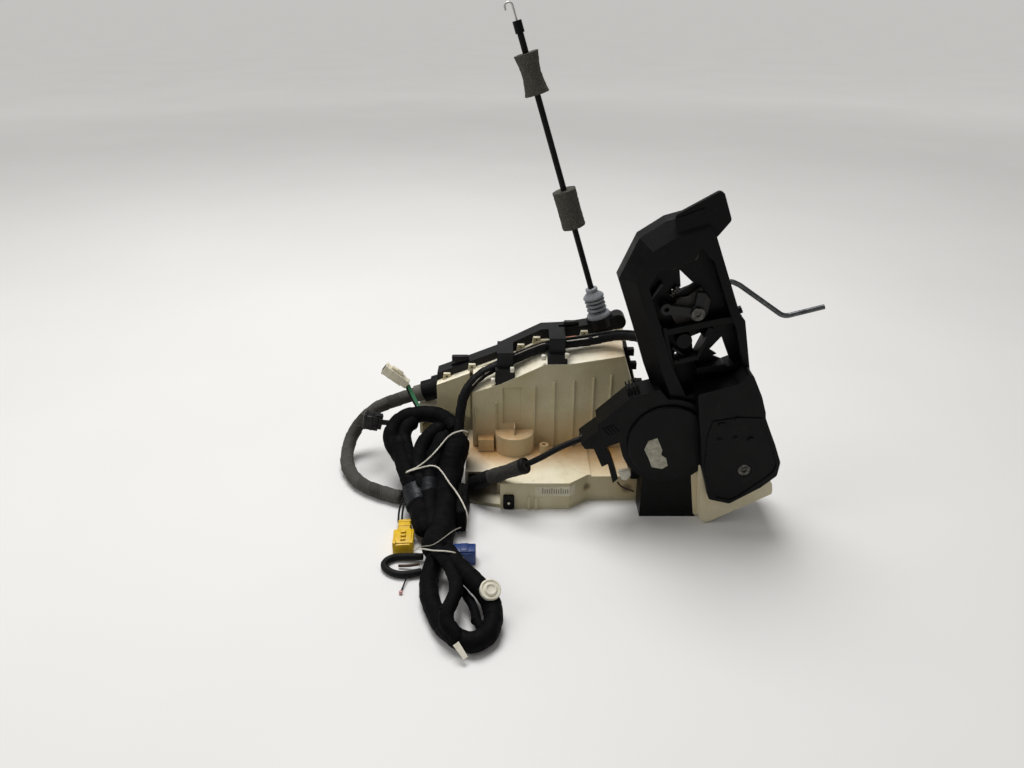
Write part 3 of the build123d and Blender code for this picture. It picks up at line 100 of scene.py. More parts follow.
class Finish:
    """One procedural material: a shader and short calls that feed it."""

    def __init__(self, name, roughness, metallic=0.0):
        self.material = bpy.data.materials.new(name)
        self.material.use_nodes = True
        self.tree = self.material.node_tree
        self.shader = self.tree.nodes["Principled BSDF"]
        self.shader.inputs["Roughness"].default_value = roughness
        self.shader.inputs["Metallic"].default_value = metallic
        self.place = self.tree.nodes.new("ShaderNodeTexCoord")
        self.heights = []

    def node(self, kind, **settings):
        made = self.tree.nodes.new(kind)
        for key, value in settings.items():
            setattr(made, key, value)
        return made

    def link(self, source, target):
        self.tree.links.new(source, target)

    def noise(self, scale, detail=3.0, roughness=0.5, stretch=(1, 1, 1)):
        """Noise, with scale in blotches per metre."""
        turn = self.node("ShaderNodeMapping")
        turn.inputs["Scale"].default_value = stretch
        self.link(self.place.outputs["Object"], turn.inputs["Vector"])
        made = self.node("ShaderNodeTexNoise")
        made.inputs["Scale"].default_value = scale
        made.inputs["Detail"].default_value = detail
        made.inputs["Roughness"].default_value = roughness
        self.link(turn.outputs["Vector"], made.inputs["Vector"])
        return made.outputs["Fac"]

    def ramp(self, source, low, high, start=0.0, end=1.0):
        """source from low to high becomes start to end."""
        made = self.node("ShaderNodeMapRange", clamp=True)
        self.link(source, made.inputs["Value"])
        for socket, value in (("From Min", low), ("From Max", high), ("To Min", start), ("To Max", end)):
            made.inputs[socket].default_value = value
        return made.outputs["Result"]

    def times(self, first, second):
        return self.math(first, second, "MULTIPLY")

    def math(self, first, second, operation):
        made = self.node("ShaderNodeMath", operation=operation)
        for socket, value in zip(made.inputs, (first, second)):
            if isinstance(value, (int, float)):
                socket.default_value = value
            else:
                self.link(value, socket)
        return made.outputs["Value"]

    def mix(self, factor, first, second):
        """first where factor is 0, second where it is 1; both are colours."""
        made = self.node("ShaderNodeMix", data_type="RGBA")
        self.link(factor, made.inputs[MIX_FACTOR])
        for socket, value in ((made.inputs[MIX_FIRST], first), (made.inputs[MIX_SECOND], second)):
            if isinstance(value, tuple):
                socket.default_value = (*value, 1)
            else:
                self.link(value, socket)
        return made.outputs[MIX_COLOUR]

    def turns(self):
        """A wound cord's turns, counted along it and around it."""
        split = self.node("ShaderNodeSeparateXYZ")
        self.link(self.place.outputs["UV"], split.inputs["Vector"])
        return split.outputs["X"], split.outputs["Y"]

    def facing(self, way):
        """1 where the surface faces a way, 0 from square to it on."""
        towards = self.node("ShaderNodeVectorMath", operation="DOT_PRODUCT")
        self.link(self.place.outputs["Normal"], towards.inputs[0])
        towards.inputs[1].default_value = way
        return self.ramp(towards.outputs["Value"], 0.2, 0.8)

    def near(self, centre, reach, blur=0.4):
        """1 at centre, falling to 0 at reach, in metres."""
        apart = self.node("ShaderNodeVectorMath", operation="DISTANCE")
        self.link(self.place.outputs["Object"], apart.inputs[0])
        apart.inputs[1].default_value = centre
        return self.ramp(apart.outputs["Value"], reach * (1 - blur), reach, 1, 0)

    def colour(self, source):
        if isinstance(source, tuple):
            self.shader.inputs["Base Color"].default_value = (*source, 1)
        else:
            self.link(source, self.shader.inputs["Base Color"])

    def rough(self, source):
        self.link(source, self.shader.inputs["Roughness"])

    def bump(self, height, distance, strength=1.0):
        """Adds relief that is distance metres deep."""
        made = self.node("ShaderNodeBump")
        made.inputs["Distance"].default_value = distance
        made.inputs["Strength"].default_value = strength
        self.link(height, made.inputs["Height"])
        if self.heights:
            self.link(self.heights[-1], made.inputs["Normal"])
        self.heights.append(made.outputs["Normal"])
        self.link(made.outputs["Normal"], self.shader.inputs["Normal"])

    def soft_edges(self, radius):
        """Edges that catch the light as moulded ones do."""
        made = self.node("ShaderNodeBevel", samples=4)
        made.inputs["Radius"].default_value = radius
        self.heights.append(made.outputs["Normal"])
        self.link(made.outputs["Normal"], self.shader.inputs["Normal"])

    def dull(self, level):
        """How much of a plain surface's shine is left."""
        self.shader.inputs["Specular IOR Level"].default_value = level


def cream_plastic(name, stains, shade_and_dark_spots=(), less_front_shade=0.0):
    """Cream moulding gone yellow, with painted shade that darkens its front faces; stains, and the painted
    shade and dark spots, are (centre, reach, strength).
    """
    f = Finish(name, 0.5)
    f.dull(0.35)
    f.soft_edges(0.0008)
    clean, aged = (0.86, 0.81, 0.66), (0.78, 0.69, 0.46)
    shade = f.mix(f.ramp(f.noise(14, 4, 0.6), 0.35, 0.7), clean, aged)
    # Painted shade: faces turned to the front (-Y) are painted a darker khaki, weakened by the last argument.
    front = f.mix(f.ramp(f.noise(22, 4, 0.6), 0.35, 0.7), (0.56, 0.51, 0.345), (0.44, 0.385, 0.225))
    shade = f.mix(f.times(f.facing((0, -1, 0)), 1 - less_front_shade), shade, front)
    shade = f.mix(f.times(f.ramp(f.noise(60, 5, 0.7), 0.5, 0.75), 0.4), shade, (0.50, 0.41, 0.24))
    upward = f.math(f.times(f.facing((0, 0, 1)), 0.65), 0.35, "ADD")
    for centre, reach, strength in stains:
        spot = f.times(f.near(centre, reach, 0.9), f.ramp(f.noise(95, 4, 0.7), 0.25, 0.6, 0.55, 1.0))
        shade = f.mix(f.times(f.times(spot, upward), strength), shade, (0.60, 0.33, 0.105))
    # Painted shade: dark brown in the cable bay, and small dark spots at the middle of two stains.
    for centre, reach, strength in shade_and_dark_spots:
        shade = f.mix(f.times(f.near(centre, reach, 0.6), strength), shade, (0.045, 0.036, 0.024))
    streaks = f.ramp(f.noise(160, 4, 0.7, stretch=(1, 1, 0.12)), 0.58, 0.72)
    shade = f.mix(f.times(streaks, 0.22), shade, (0.30, 0.24, 0.14))
    specks = f.ramp(f.noise(900, 2, 0.6), 0.66, 0.72)
    shade = f.mix(f.times(specks, 0.55), shade, (0.22, 0.16, 0.09))
    f.colour(shade)
    f.rough(f.ramp(f.noise(45, 4), 0.3, 0.7, 0.40, 0.58))
    f.bump(f.noise(2600, 2), 0.00004, 0.5)
    return f.material


def black_plastic(name, tone=0.0022, gloss=0.36, shine=0.13):
    """Grained black moulding, rubbed grey in places."""
    f = Finish(name, gloss)
    f.dull(shine)
    f.soft_edges(0.0007)
    base = f.mix(f.ramp(f.noise(40, 5, 0.65), 0.4, 0.7), (tone, tone, tone * 1.1), (tone * 1.8,) * 3)
    dust = f.times(f.ramp(f.noise(210, 6, 0.75), 0.60, 0.78), 0.10)
    base = f.mix(dust, base, (0.16, 0.155, 0.14))
    f.colour(base)
    f.rough(f.ramp(f.noise(70, 5, 0.6), 0.3, 0.7, gloss - 0.07, gloss + 0.13))
    f.bump(f.noise(3200, 2), 0.00005, 0.6)
    return f.material


def cloth_tape(name, base, light, lap_shade_and_highlight=0.4, turn_tones=0.0, weave_tone=2.0, shine=0.12, gloss=0.7):
    """Tape wound in lapped turns; a cord's UV map counts its turns along and around."""
    f = Finish(name, gloss)
    f.dull(shine)
    count = f.math(*f.turns(), "SUBTRACT")
    lap = f.math(count, 1.0, "FRACT")
    turn = f.node("ShaderNodeTexWhiteNoise", noise_dimensions="1D")
    f.link(f.math(count, 1.0, "FLOOR"), turn.inputs["W"])
    shade = f.mix(f.ramp(f.noise(55, 5, 0.7), 0.35, 0.75), base, light)
    shade = f.mix(f.times(turn.outputs["Value"], turn_tones), shade, tuple(c * 1.9 for c in light))
    # Painted shade and a painted highlight: a dark band on one side of each lap's edge and a light band on
    # the other, as strong as the third argument.
    shade = f.mix(f.ramp(lap, 0.0, 0.06, lap_shade_and_highlight, 0), shade, tuple(c * 0.3 for c in base))
    shade = f.mix(f.ramp(lap, 0.90, 1.0, 0, lap_shade_and_highlight), shade, tuple(c * 1.8 for c in light))
    weave = f.noise(3400, 2, 0.6)
    shade = f.mix(f.times(f.ramp(weave, 0.5, 0.8), 0.3), shade, tuple(min(1, c * weave_tone) for c in light))
    f.colour(shade)
    f.rough(f.ramp(f.noise(120, 3), 0.3, 0.7, gloss - 0.15, gloss + 0.1))
    f.bump(f.noise(150, 4, 0.6), 0.0007, 0.6)
    f.bump(weave, 0.00014, 0.8)
    return f.material


def speckled_foam(name, dark, light):
    """Open foam with light grains and grey patches."""
    f = Finish(name, 0.95)
    f.dull(0.1)
    grains = f.ramp(f.noise(1500, 3, 0.7), 0.45, 0.62)
    shade = f.mix(grains, dark, light)
    shade = f.mix(f.times(f.ramp(f.noise(150, 4, 0.7), 0.5, 0.75), 0.5), shade, (0.055, 0.05, 0.04))
    f.colour(shade)
    f.bump(f.noise(1300, 3, 0.7), 0.0006)
    f.bump(f.noise(130, 3), 0.0012, 0.7)
    return f.material


def bellows_rubber():
    """Grey rubber, chalky in places."""
    f = Finish("bellows_rubber", 0.55)
    f.soft_edges(0.0006)
    shade = f.mix(f.ramp(f.noise(120, 4, 0.6), 0.35, 0.7), (0.20, 0.21, 0.23), (0.32, 0.33, 0.35))
    f.colour(f.mix(f.times(f.ramp(f.noise(500, 4, 0.7), 0.55, 0.7), 0.3), shade, (0.32, 0.31, 0.28)))
    f.bump(f.noise(1800, 2), 0.00008)
    return f.material


def soft_rubber(name, tone, shine=0.16, grain=0.00006, grain_scale=2400):
    """Black rubber or soft foam, with grain metres deep."""
    f = Finish(name, 0.6)
    f.dull(shine)
    f.soft_edges(0.0005)
    f.colour(f.mix(f.ramp(f.noise(160, 4, 0.6), 0.4, 0.7), (tone, tone, tone), (tone * 2.0,) * 3))
    f.rough(f.ramp(f.noise(90, 3), 0.3, 0.7, 0.45, 0.7))
    f.bump(f.noise(grain_scale, 2), grain)
    return f.material


def worn_steel(name, dark, bright, roughness=0.34):
    """Metal that is dull in some places and rubbed bright in others."""
    f = Finish(name, roughness, 1.0)
    f.soft_edges(0.0004)
    f.colour(f.mix(f.ramp(f.noise(230, 5, 0.7), 0.35, 0.7), dark, bright))
    f.rough(f.ramp(f.noise(420, 4, 0.6), 0.3, 0.7, roughness - 0.08, roughness + 0.16))
    f.bump(f.noise(1500, 3), 0.00005, 0.6)
    return f.material


def plain_plastic(name, colour, shadow, roughness=0.45):
    """A small coloured moulding: plugs, ties, wires."""
    f = Finish(name, roughness)
    f.soft_edges(0.0004)
    f.colour(f.mix(f.ramp(f.noise(190, 4, 0.65), 0.35, 0.72), colour, shadow))
    f.rough(f.ramp(f.noise(150, 3), 0.3, 0.7, roughness - 0.08, roughness + 0.12))
    f.bump(f.noise(2200, 2), 0.00005, 0.5)
    return f.material


CREAM = cream_plastic("cream_housing", [
    ((-0.030, 0.000, LEDGE_Z), 0.044, 0.95), ((-0.064, 0.000, LEDGE_Z), 0.040, 0.95),
    ((0.006, 0.002, LEDGE_Z), 0.036, 0.85), ((0.045, 0.000, LEDGE_Z), 0.052, 1.0),
    ((0.078, -0.020, LEDGE_Z), 0.034, 0.75), ((-0.0377, 0.003, 0.043), 0.028, 0.38),
    ((-0.064, 0.000, 0.037), 0.018, 0.65), ((0.058, -0.042, 0.012), 0.011, 1.0),
    ((0.0235, -0.043, 0.014), 0.007, 1.0), ((-0.045, -0.037, LEDGE_Z), 0.013, 0.5),
    ((-0.0577, -0.005, 0.030), 0.016, 0.7), ((0.050, 0.020, 0.115), 0.026, 0.5)],
    # painted shade in the cable bay, then two small dark spots
    shade_and_dark_spots=[((-0.080, -0.034, 0.016), 0.026, 0.9), ((-0.074, -0.030, 0.006), 0.022, 0.8),
          ((-0.068, -0.046, 0.003), 0.022, 0.5), ((0.058, -0.042, 0.012), 0.006, 0.7),
          ((0.0235, -0.043, 0.014), 0.0045, 0.7)])
# Its front faces take less of the painted shade.
CREAM_LATCH = cream_plastic("cream_latch", [((0.118, -0.07, 0.030), 0.022, 0.5)], less_front_shade=0.45)
BLACK = black_plastic("black_moulding")
BLACK_DUCT = black_plastic("black_duct", 0.005, 0.42, 0.24)
# The third number sets the painted shade and highlight at the lap edges.
TAPE = cloth_tape("black_cloth_tape", (0.0016, 0.0016, 0.0019), (0.0044, 0.0044, 0.005),
                  0.5, 0.25, 1.8, 0.045)
SHINY_TAPE = cloth_tape("shiny_black_tape", (0.005, 0.006, 0.0072), (0.009, 0.011, 0.013),
                        0.5, 0.2, 1.3, 0.2, 0.36)
LOOM_TAPE = cloth_tape("black_loom_tape", (0.0025, 0.0025, 0.0028), (0.006, 0.006, 0.0066),
                       shine=0.13, gloss=0.5)
HOSE_TAPE = cloth_tape("grey_hose_tape", (0.034, 0.032, 0.028), (0.062, 0.059, 0.052),
                       0.7, 0.45, 1.7, 0.1, 0.85)
COLLAR = cloth_tape("hose_collar_tape", (0.13, 0.125, 0.10), (0.21, 0.20, 0.165), 0.3, 0, 1.4)
SHEATH = soft_rubber("black_sheath", 0.0025)
GASKET = soft_rubber("black_gasket", 0.0025)
FOAM = speckled_foam("speckled_foam", (0.052, 0.050, 0.042), (0.135, 0.130, 0.108))
CABLE_FOAM = speckled_foam("dark_cable_foam", (0.026, 0.024, 0.022), (0.075, 0.069, 0.062))
PAD_FOAM = soft_rubber("black_pad_foam", 0.0028, 0.05, 0.0012, 700)
# Brownish worn plate; on the dish lip the same lighter colour is a painted highlight.
WORN_PLATE_AND_LIP_HIGHLIGHT = plain_plastic("worn_plate_and_lip_highlight", (0.020, 0.017, 0.012), (0.006, 0.005, 0.004), 0.55)
GLOSS_BLACK = black_plastic("gloss_black", 0.003, 0.24, 0.26)
WORN_BLACK = black_plastic("worn_black", 0.0075, 0.32, 0.26)
RESIDUE = plain_plastic("dry_adhesive", (0.47, 0.45, 0.36), (0.20, 0.19, 0.14), 0.85)
RUST = plain_plastic("rusty_wire", (0.075, 0.035, 0.015), (0.03, 0.018, 0.012), 0.7)
LABEL = plain_plastic("paper_label", (0.62, 0.58, 0.44), (0.50, 0.46, 0.33), 0.6)
INK = plain_plastic("grey_ink", (0.12, 0.115, 0.10), (0.22, 0.21, 0.18), 0.7)
GREY_TIE = plain_plastic("grey_thread", (0.33, 0.30, 0.25), (0.20, 0.18, 0.15), 0.7)
BELLOWS = bellows_rubber()
ROD = worn_steel("dull_rod_steel", (0.06, 0.063, 0.066), (0.17, 0.175, 0.18), 0.36)
SCREW = worn_steel("zinc_screw", (0.50, 0.50, 0.48), (0.80, 0.80, 0.78), 0.28)
DARK_SCREW = worn_steel("blackened_screw", (0.025, 0.024, 0.021), (0.16, 0.155, 0.14), 0.32)
PLATE = worn_steel("zinc_plate", (0.40, 0.40, 0.39), (0.62, 0.62, 0.60), 0.38)
CLAW = worn_steel("greased_claw", (0.16, 0.15, 0.14), (0.34, 0.33, 0.32), 0.3)
ACETAL = plain_plastic("natural_acetal", (0.74, 0.73, 0.68), (0.64, 0.62, 0.56), 0.4)
BOARD = plain_plastic("green_board", (0.05, 0.20, 0.08), (0.03, 0.12, 0.05), 0.35)
YELLOW = plain_plastic("yellow_plug", (0.78, 0.50, 0.012), (0.60, 0.36, 0.012), 0.4)
BLUE = plain_plastic("blue_plug", (0.006, 0.040, 0.19), (0.004, 0.020, 0.10), 0.38)
IVORY = plain_plastic("ivory_plastic", (0.78, 0.75, 0.64), (0.66, 0.61, 0.48), 0.45)
CREAM_PLUG = plain_plastic("cream_plug", (0.74, 0.69, 0.55), (0.60, 0.54, 0.38), 0.45)
WHITE_TIE = plain_plastic("white_tie", (0.66, 0.63, 0.55), (0.48, 0.45, 0.37), 0.6)
GREEN_WIRE = plain_plastic("green_wire", (0.05, 0.22, 0.10), (0.03, 0.14, 0.06), 0.4)
RED_WIRE = plain_plastic("red_wire", (0.55, 0.21, 0.10), (0.20, 0.07, 0.035), 0.4)
PINK_TIP = plain_plastic("pink_tip", (0.66, 0.36, 0.34), (0.5, 0.25, 0.24), 0.45)

SLOT_FINISH = {
    "cream_housing": CREAM, "cream_latch": CREAM_LATCH, "black_plastic": BLACK, "black_rubber": GASKET,
    "grey_rubber": BELLOWS, "black_sheath": SHEATH, "foam": FOAM, "black_tape": TAPE, "hose_tape": HOSE_TAPE,
    "hose_collar": COLLAR, "screw_steel": SCREW, "rod_steel": ROD, "spring_steel": ROD, "cable_steel": PLATE,
    "pin_steel": PLATE, "plate_steel": PLATE, "claw_steel": CLAW, "inner_plastic": ACETAL,
    "circuit_board": BOARD, "cream_connector": CREAM_PLUG, "yellow_plastic": YELLOW, "blue_plastic": BLUE,
    "ivory_plastic": IVORY}
# Nodes that look unlike the rest of their slot.
OWN_FINISH = {
    "cable_duct": BLACK_DUCT, "cable_elbow": BLACK_DUCT, "duct_clips": BLACK_DUCT, "cover_screw": DARK_SCREW,
    "bell_crank_screw": DARK_SCREW, "bell_crank": WORN_BLACK}
for part in frame["record"]["subparts"]:
    finish = OWN_FINISH.get(part["node"], SLOT_FINISH[part["material_slot"]])
    NODES[part["node"]].data.materials.clear()
    NODES[part["node"]].data.materials.append(finish)


# ---------------------------------------------------------------- making and placing pieces
def add(name, bm, material, replaces=(), smooth_below=35):
    """Turns a bmesh, already in its place, into a piece with sharp edges above an angle."""
    mesh = bpy.data.meshes.new(name)
    bmesh.ops.remove_doubles(bm, verts=bm.verts, dist=1e-6)
    bmesh.ops.recalc_face_normals(bm, faces=bm.faces)
    for face in bm.faces:
        face.smooth = True
    for edge in bm.edges:
        edge.smooth = edge.calc_face_angle(pi) < radians(smooth_below)
    bm.to_mesh(mesh)
    bm.free()
    mesh.materials.append(material)
    return kept(name, mesh, replaces)


def kept(name, data, replaces):
    """Puts a mesh or curve in the scene as a piece of the module."""
    piece = bpy.data.objects.new(name, data)
    bpy.context.scene.collection.objects.link(piece)
    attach(piece, "module")
    if replaces:
        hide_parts(*replaces)
    return piece


def placed(bm, matrix):
    bmesh.ops.transform(bm, matrix=matrix, verts=bm.verts)
    return bm


def line_curve(name, route, resolution=12):
    """A curve of no thickness along a route's points."""
    curve = bpy.data.curves.new(name, "CURVE")
    curve.dimensions = "3D"
    spline = curve.splines.new("NURBS")
    spline.points.add(len(route) - 1)
    for point, place in zip(spline.points, route):
        point.co = (*(Vector(place) * MM), 1)
    spline.order_u = 3
    spline.use_endpoint_u = True
    spline.resolution_u = resolution
    return curve


def cord_line(route):
    """The points that a route's spline passes through."""
    holder = bpy.data.objects.new("line", line_curve("line", route))
    mesh = bpy.data.meshes.new_from_object(holder)
    points = [vertex.co.copy() for vertex in mesh.vertices]
    bpy.data.objects.remove(holder)
    return points


def round_cord(name, route, diameter, material, replaces=()):
    """A smooth round cord along its route."""
    curve = line_curve(name, route)
    curve.bevel_depth = diameter / 2
    curve.bevel_resolution = 6
    curve.use_fill_caps = True
    curve.materials.append(material)
    return kept(name, curve, replaces)


def open_tube(name, route, diameter):
    """A tube's mesh, open at both ends, and the points of the line it follows."""
    curve = line_curve(name, route, 24)
    holder = bpy.data.objects.new(name, curve)
    line = [vertex.co.copy() for vertex in bpy.data.meshes.new_from_object(holder).vertices]
    curve.bevel_depth = diameter / 2
    curve.bevel_resolution = 8
    mesh = bpy.data.meshes.new_from_object(holder)
    bpy.data.objects.remove(holder)
    return mesh, line


def close_ends(mesh):
    bm = bmesh.new()
    bm.from_mesh(mesh)
    bmesh.ops.holes_fill(bm, edges=[edge for edge in bm.edges if edge.is_boundary], sides=0)
    for face in bm.faces:
        face.smooth = True
    bm.to_mesh(mesh)
    bm.free()


def wound_cord(name, route, diameter, material, pitch, step, lumps, replaces=(), taper=0.0):
    """A cord wound in tape: each turn's edge stands a step proud, over an uneven core.

    Its ends narrow over the taper's length. UVs count the turns along and around.
    """
    mesh, line = open_tube(name, route, diameter)
    sides = len(mesh.vertices) // len(line)
    gone = [0.0]
    for here, there in zip(line, line[1:]):
        gone.append(gone[-1] + (there - here).length)
    for index, vertex in enumerate(mesh.vertices):
        ring, side = divmod(index, sides)
        outward = (vertex.co - line[ring]).normalized()
        lap = (gone[ring] / pitch + side / sides) % 1
        uneven = noise.noise(vertex.co * 55) + 0.5 * noise.noise(vertex.co * 130)
        inwards = min(gone[ring], gone[-1] - gone[ring])
        if inwards < taper:
            vertex.co = line[ring] + (vertex.co - line[ring]) * (0.45 + 0.55 * sin(pi / 2 * inwards / taper))
        vertex.co += outward * (lumps * uneven + step * (0.5 - lap))
    turns = mesh.uv_layers[0].data
    for loop in mesh.loops:
        turns[loop.index].uv.x = gone[loop.vertex_index // sides] / pitch
    close_ends(mesh)
    mesh.materials.clear()
    mesh.materials.append(material)
    return kept(name, mesh, replaces)


def declared(piece, route):
    """Finds the line of a free cord that goes back into the object; the line is not used."""
    followed = None if piece.type == "CURVE" else cord_line(route)


# ---------------------------------------------------------------- cords
hose = wound_cord("hose", HOSE_ROUTE, HOSE_D, HOSE_TAPE, 0.013, 0.0005, 0.0005,
                  replaces=["duct_hose"])
declared(hose, HOSE_ROUTE)
loom = wound_cord("loom", LOOM_ROUTE, LOOM_D, LOOM_TAPE, 0.010, 0.0004, 0.0004,
                  replaces=["roof_loom"])
declared(loom, LOOM_ROUTE)
conduit = round_cord("closing_cable", CLOSING_ROUTE, CONDUIT_D, SHEATH,
                     replaces=["closing_conduit"])
declared(conduit, CLOSING_ROUTE)

# name, route, diameter, length
for harness_name, harness_route, harness_d, harness_length in (
        ("harness_upper_loop", UPPER_LOOP_ROUTE, UPPER_LOOP_D, 0.100),
        ("harness_lower_loop", LOWER_LOOP_ROUTE, LOWER_LOOP_D, 0.198),
        ("harness_inner_loop", INNER_LOOP_ROUTE, INNER_LOOP_D, 0.073),
        ("harness_cross_strand", CROSS_STRAND_ROUTE, CROSS_STRAND_D, 0.0455)):
    taped = wound_cord(harness_name + "_taped", harness_route, harness_d, TAPE, 0.012, 0.0004, 0.0006,
                       replaces=[harness_name])
    declared(taped, harness_route)

LUMP_ROOM = 0.002  # the tape's lumps stand this far out of a bundle
for bundle_name, bundle_route, bundle_d in (
        ("harness_trunk", TRUNK_ROUTE, TRUNK_D), ("harness_side_trunk", SIDE_TRUNK_ROUTE, SIDE_TRUNK_D),
        ("harness_fold", FOLD_ROUTE, FOLD_D)):
    wound_cord(bundle_name + "_taped", bundle_route, bundle_d - LUMP_ROOM, TAPE, 0.014, 0.0006, 0.0016,
               replaces=[bundle_name], taper=0.010)

# strands that fill the bundle, with the ends that run on under its neighbours
for strand_name, strand_d, strand_route in (
        ("loop_inside", 0.013, [(-124, 9, 51), (-133, 5, 49), (-136.5, -5, 43), (-132, -17, 36),
                                (-127, -29, 29), (-121, -44, 20)]),
        ("fold_inside", 0.0135, [(-100, -2, 50), (-109, -7, 48), (-117, -16, 41.5), (-120.5, -27, 34),
                                 (-119.5, -40, 26), (-114.5, -58, 17)]),
        ("middle_bundle", 0.0145, [(-99, -8, 46), (-103.5, -22, 41.5), (-107.5, -34, 33), (-109, -43, 26.5),
                                   (-108.5, -60, 18), (-105, -82, 13), (-102.5, -104, 11.5)]),
        ("loop_left_end", 0.0150, [(-139, -6, 43), (-137, -19, 35), (-132, -32, 28), (-127, -44, 22),
                                   (-123, -53, 16.5)]),
        ("inner_loop_end", 0.0105, [(-80.2, -189, 17.8), (-84.2, -197, 17), (-84.6, -206, 15.6),
                                    (-80.5, -214, 13.6), (-73.5, -219.5, 10.5)]),
        ("cross_strand_end", 0.0066, [(-65.2, -191, 9), (-64, -199, 9), (-61, -206.5, 8.6), (-56, -212, 8)])):
    wound_cord(strand_name, strand_route, strand_d, TAPE, 0.012, 0.0005, 0.0009, taper=0.006)
for band_name, band_d, band_route in (
        ("shiny_band", 0.0208, [(-122.6, -49, 16.2), (-120.8, -55, 13.8), (-118.6, -63, 11.6),
                                (-117, -68, 11.2)]),
        ("shiny_band_middle", 0.0158, [(-109.2, -48.6, 23.8), (-108.9, -54, 20.8), (-108.6, -60, 18)])):
    wound_cord(band_name, band_route, band_d, SHINY_TAPE, 0.0085, 0.0005, 0.0007)
wound_cord("bay_cable_boot", [(-57, -50.2, 28.8), (-63, -47.8, 25), (-68.5, -45.5, 20.5), (-71.5, -42, 17),
                              (-72.6, -38.5, 15)], 0.0134, SHEATH, 0.02, 0.0, 0.0005, taper=0.002)
pigtail = round_cord("pigtail", PIGTAIL_ROUTE, PIGTAIL_D, SHEATH,
                     replaces=["pigtail_loop"])
declared(pigtail, PIGTAIL_ROUTE)


# ---------------------------------------------------------------- shaping
def box(x0, x1, y0, y1, z0, z1, rounding=0.0):
    """A block between two corners, in millimetres, with rounded edges."""
    bm = bmesh.new()
    size = Matrix.Diagonal(((x1 - x0) * MM, (y1 - y0) * MM, (z1 - z0) * MM, 1))
    middle = Matrix.Translation(Vector((x0 + x1, y0 + y1, z0 + z1)) * MM / 2)
    bmesh.ops.create_cube(bm, size=1, matrix=middle @ size)
    if rounding:
        round_off(bm, rounding)
    return bm


def round_off(bm, rounding, segments=2):
    bmesh.ops.bevel(bm, geom=bm.edges[:], offset=rounding * MM, offset_type="OFFSET", segments=segments,
                    profile=0.5, affect="EDGES", material=-1, clamp_overlap=True)


def moulding(outline, front, back, rounding=0.0, round_segments=2):
    """A plate with an XZ outline, between two depths, in millimetres."""
    bm = bmesh.new()
    face = bm.faces.new([bm.verts.new((x * MM, front * MM, z * MM)) for x, z in outline])
    deep = bmesh.ops.extrude_face_region(bm, geom=[face])["geom"]
    bmesh.ops.translate(bm, vec=(0, (back - front) * MM, 0),
                        verts=[part for part in deep if isinstance(part, bmesh.types.BMVert)])
    bmesh.ops.holes_fill(bm, edges=[edge for edge in bm.edges if edge.is_boundary], sides=0)
    bmesh.ops.recalc_face_normals(bm, faces=bm.faces)
    if rounding:
        round_off(bm, rounding, round_segments)
    return bm


def turned(profile, steps=40):
    """A shape turned about Z from (radius, height) points, in millimetres."""
    bm = bmesh.new()
    corners = [bm.verts.new((radius * MM, 0, height * MM)) for radius, height in profile]
    edges = [bm.edges.new(pair) for pair in zip(corners, corners[1:])]
    bmesh.ops.spin(bm, geom=corners + edges, cent=(0, 0, 0), axis=(0, 0, 1), dvec=(0, 0, 0),
                   angle=2 * pi, steps=steps, use_merge=True, use_duplicate=False)
    bmesh.ops.remove_doubles(bm, verts=bm.verts, dist=1e-6)
    bmesh.ops.recalc_face_normals(bm, faces=bm.faces)
    return bm


def joined(*shapes):
    """Several bmeshes as one."""
    whole = shapes[0]
    for shape in shapes[1:]:
        mesh = bpy.data.meshes.new("joining")
        shape.to_mesh(mesh)
        shape.free()
        whole.from_mesh(mesh)
        bpy.data.meshes.remove(mesh)
    return whole


def crumbled(bm, depth, scale):
    """Moves every vertex along its normal by an uneven amount, depth metres at most."""
    bm.normal_update()
    shift = {v: v.normal * depth * (noise.noise(v.co * scale) + 0.6 * noise.noise(v.co * scale * 3.1))
             for v in bm.verts}
    for vertex, move in shift.items():
        vertex.co += move
    return bm


def along(start, end):
    """The matrix that stands a turned shape on the line from start to end."""
    first, last = Vector(start) * MM, Vector(end) * MM
    return Matrix.Translation(first) @ (last - first).to_track_quat("Z", "Y").to_matrix().to_4x4()


def beside(route, shift, start=0.0, end=1.0, count=9):
    """Points beside a route's spline, shifted in millimetres, for a thin cord that lies along it."""
    line = cord_line(route)
    places = [start + (end - start) * index / (count - 1) for index in range(count)]
    return [tuple(line[round(place * (len(line) - 1))] / MM + Vector(shift)) for place in places]


# ---------------------------------------------------------------- foam
def foam_sleeve(low, high, radius, waist):
    """A sleeve that narrows to its waist halfway."""
    rows = 22
    sides = []
    for index in range(rows + 1):
        share = index / rows
        sides.append((waist + (radius - waist) * abs(2 * share - 1) ** 1.6, low + (high - low) * share))
    return turned([(0, low), (radius * 0.5, low)] + sides + [(radius * 0.5, high), (0, high)], 56)


def build_conduit_foam():
    pair = joined(foam_sleeve(87, 119, 9.9, 9.6), foam_sleeve(198, 229, 9.9, 7.6))
    pair = placed(crumbled(pair, 0.0004, 420), RELEASE)
    add("conduit_foam", pair, FOAM, replaces=["foam_sleeves"], smooth_below=60)


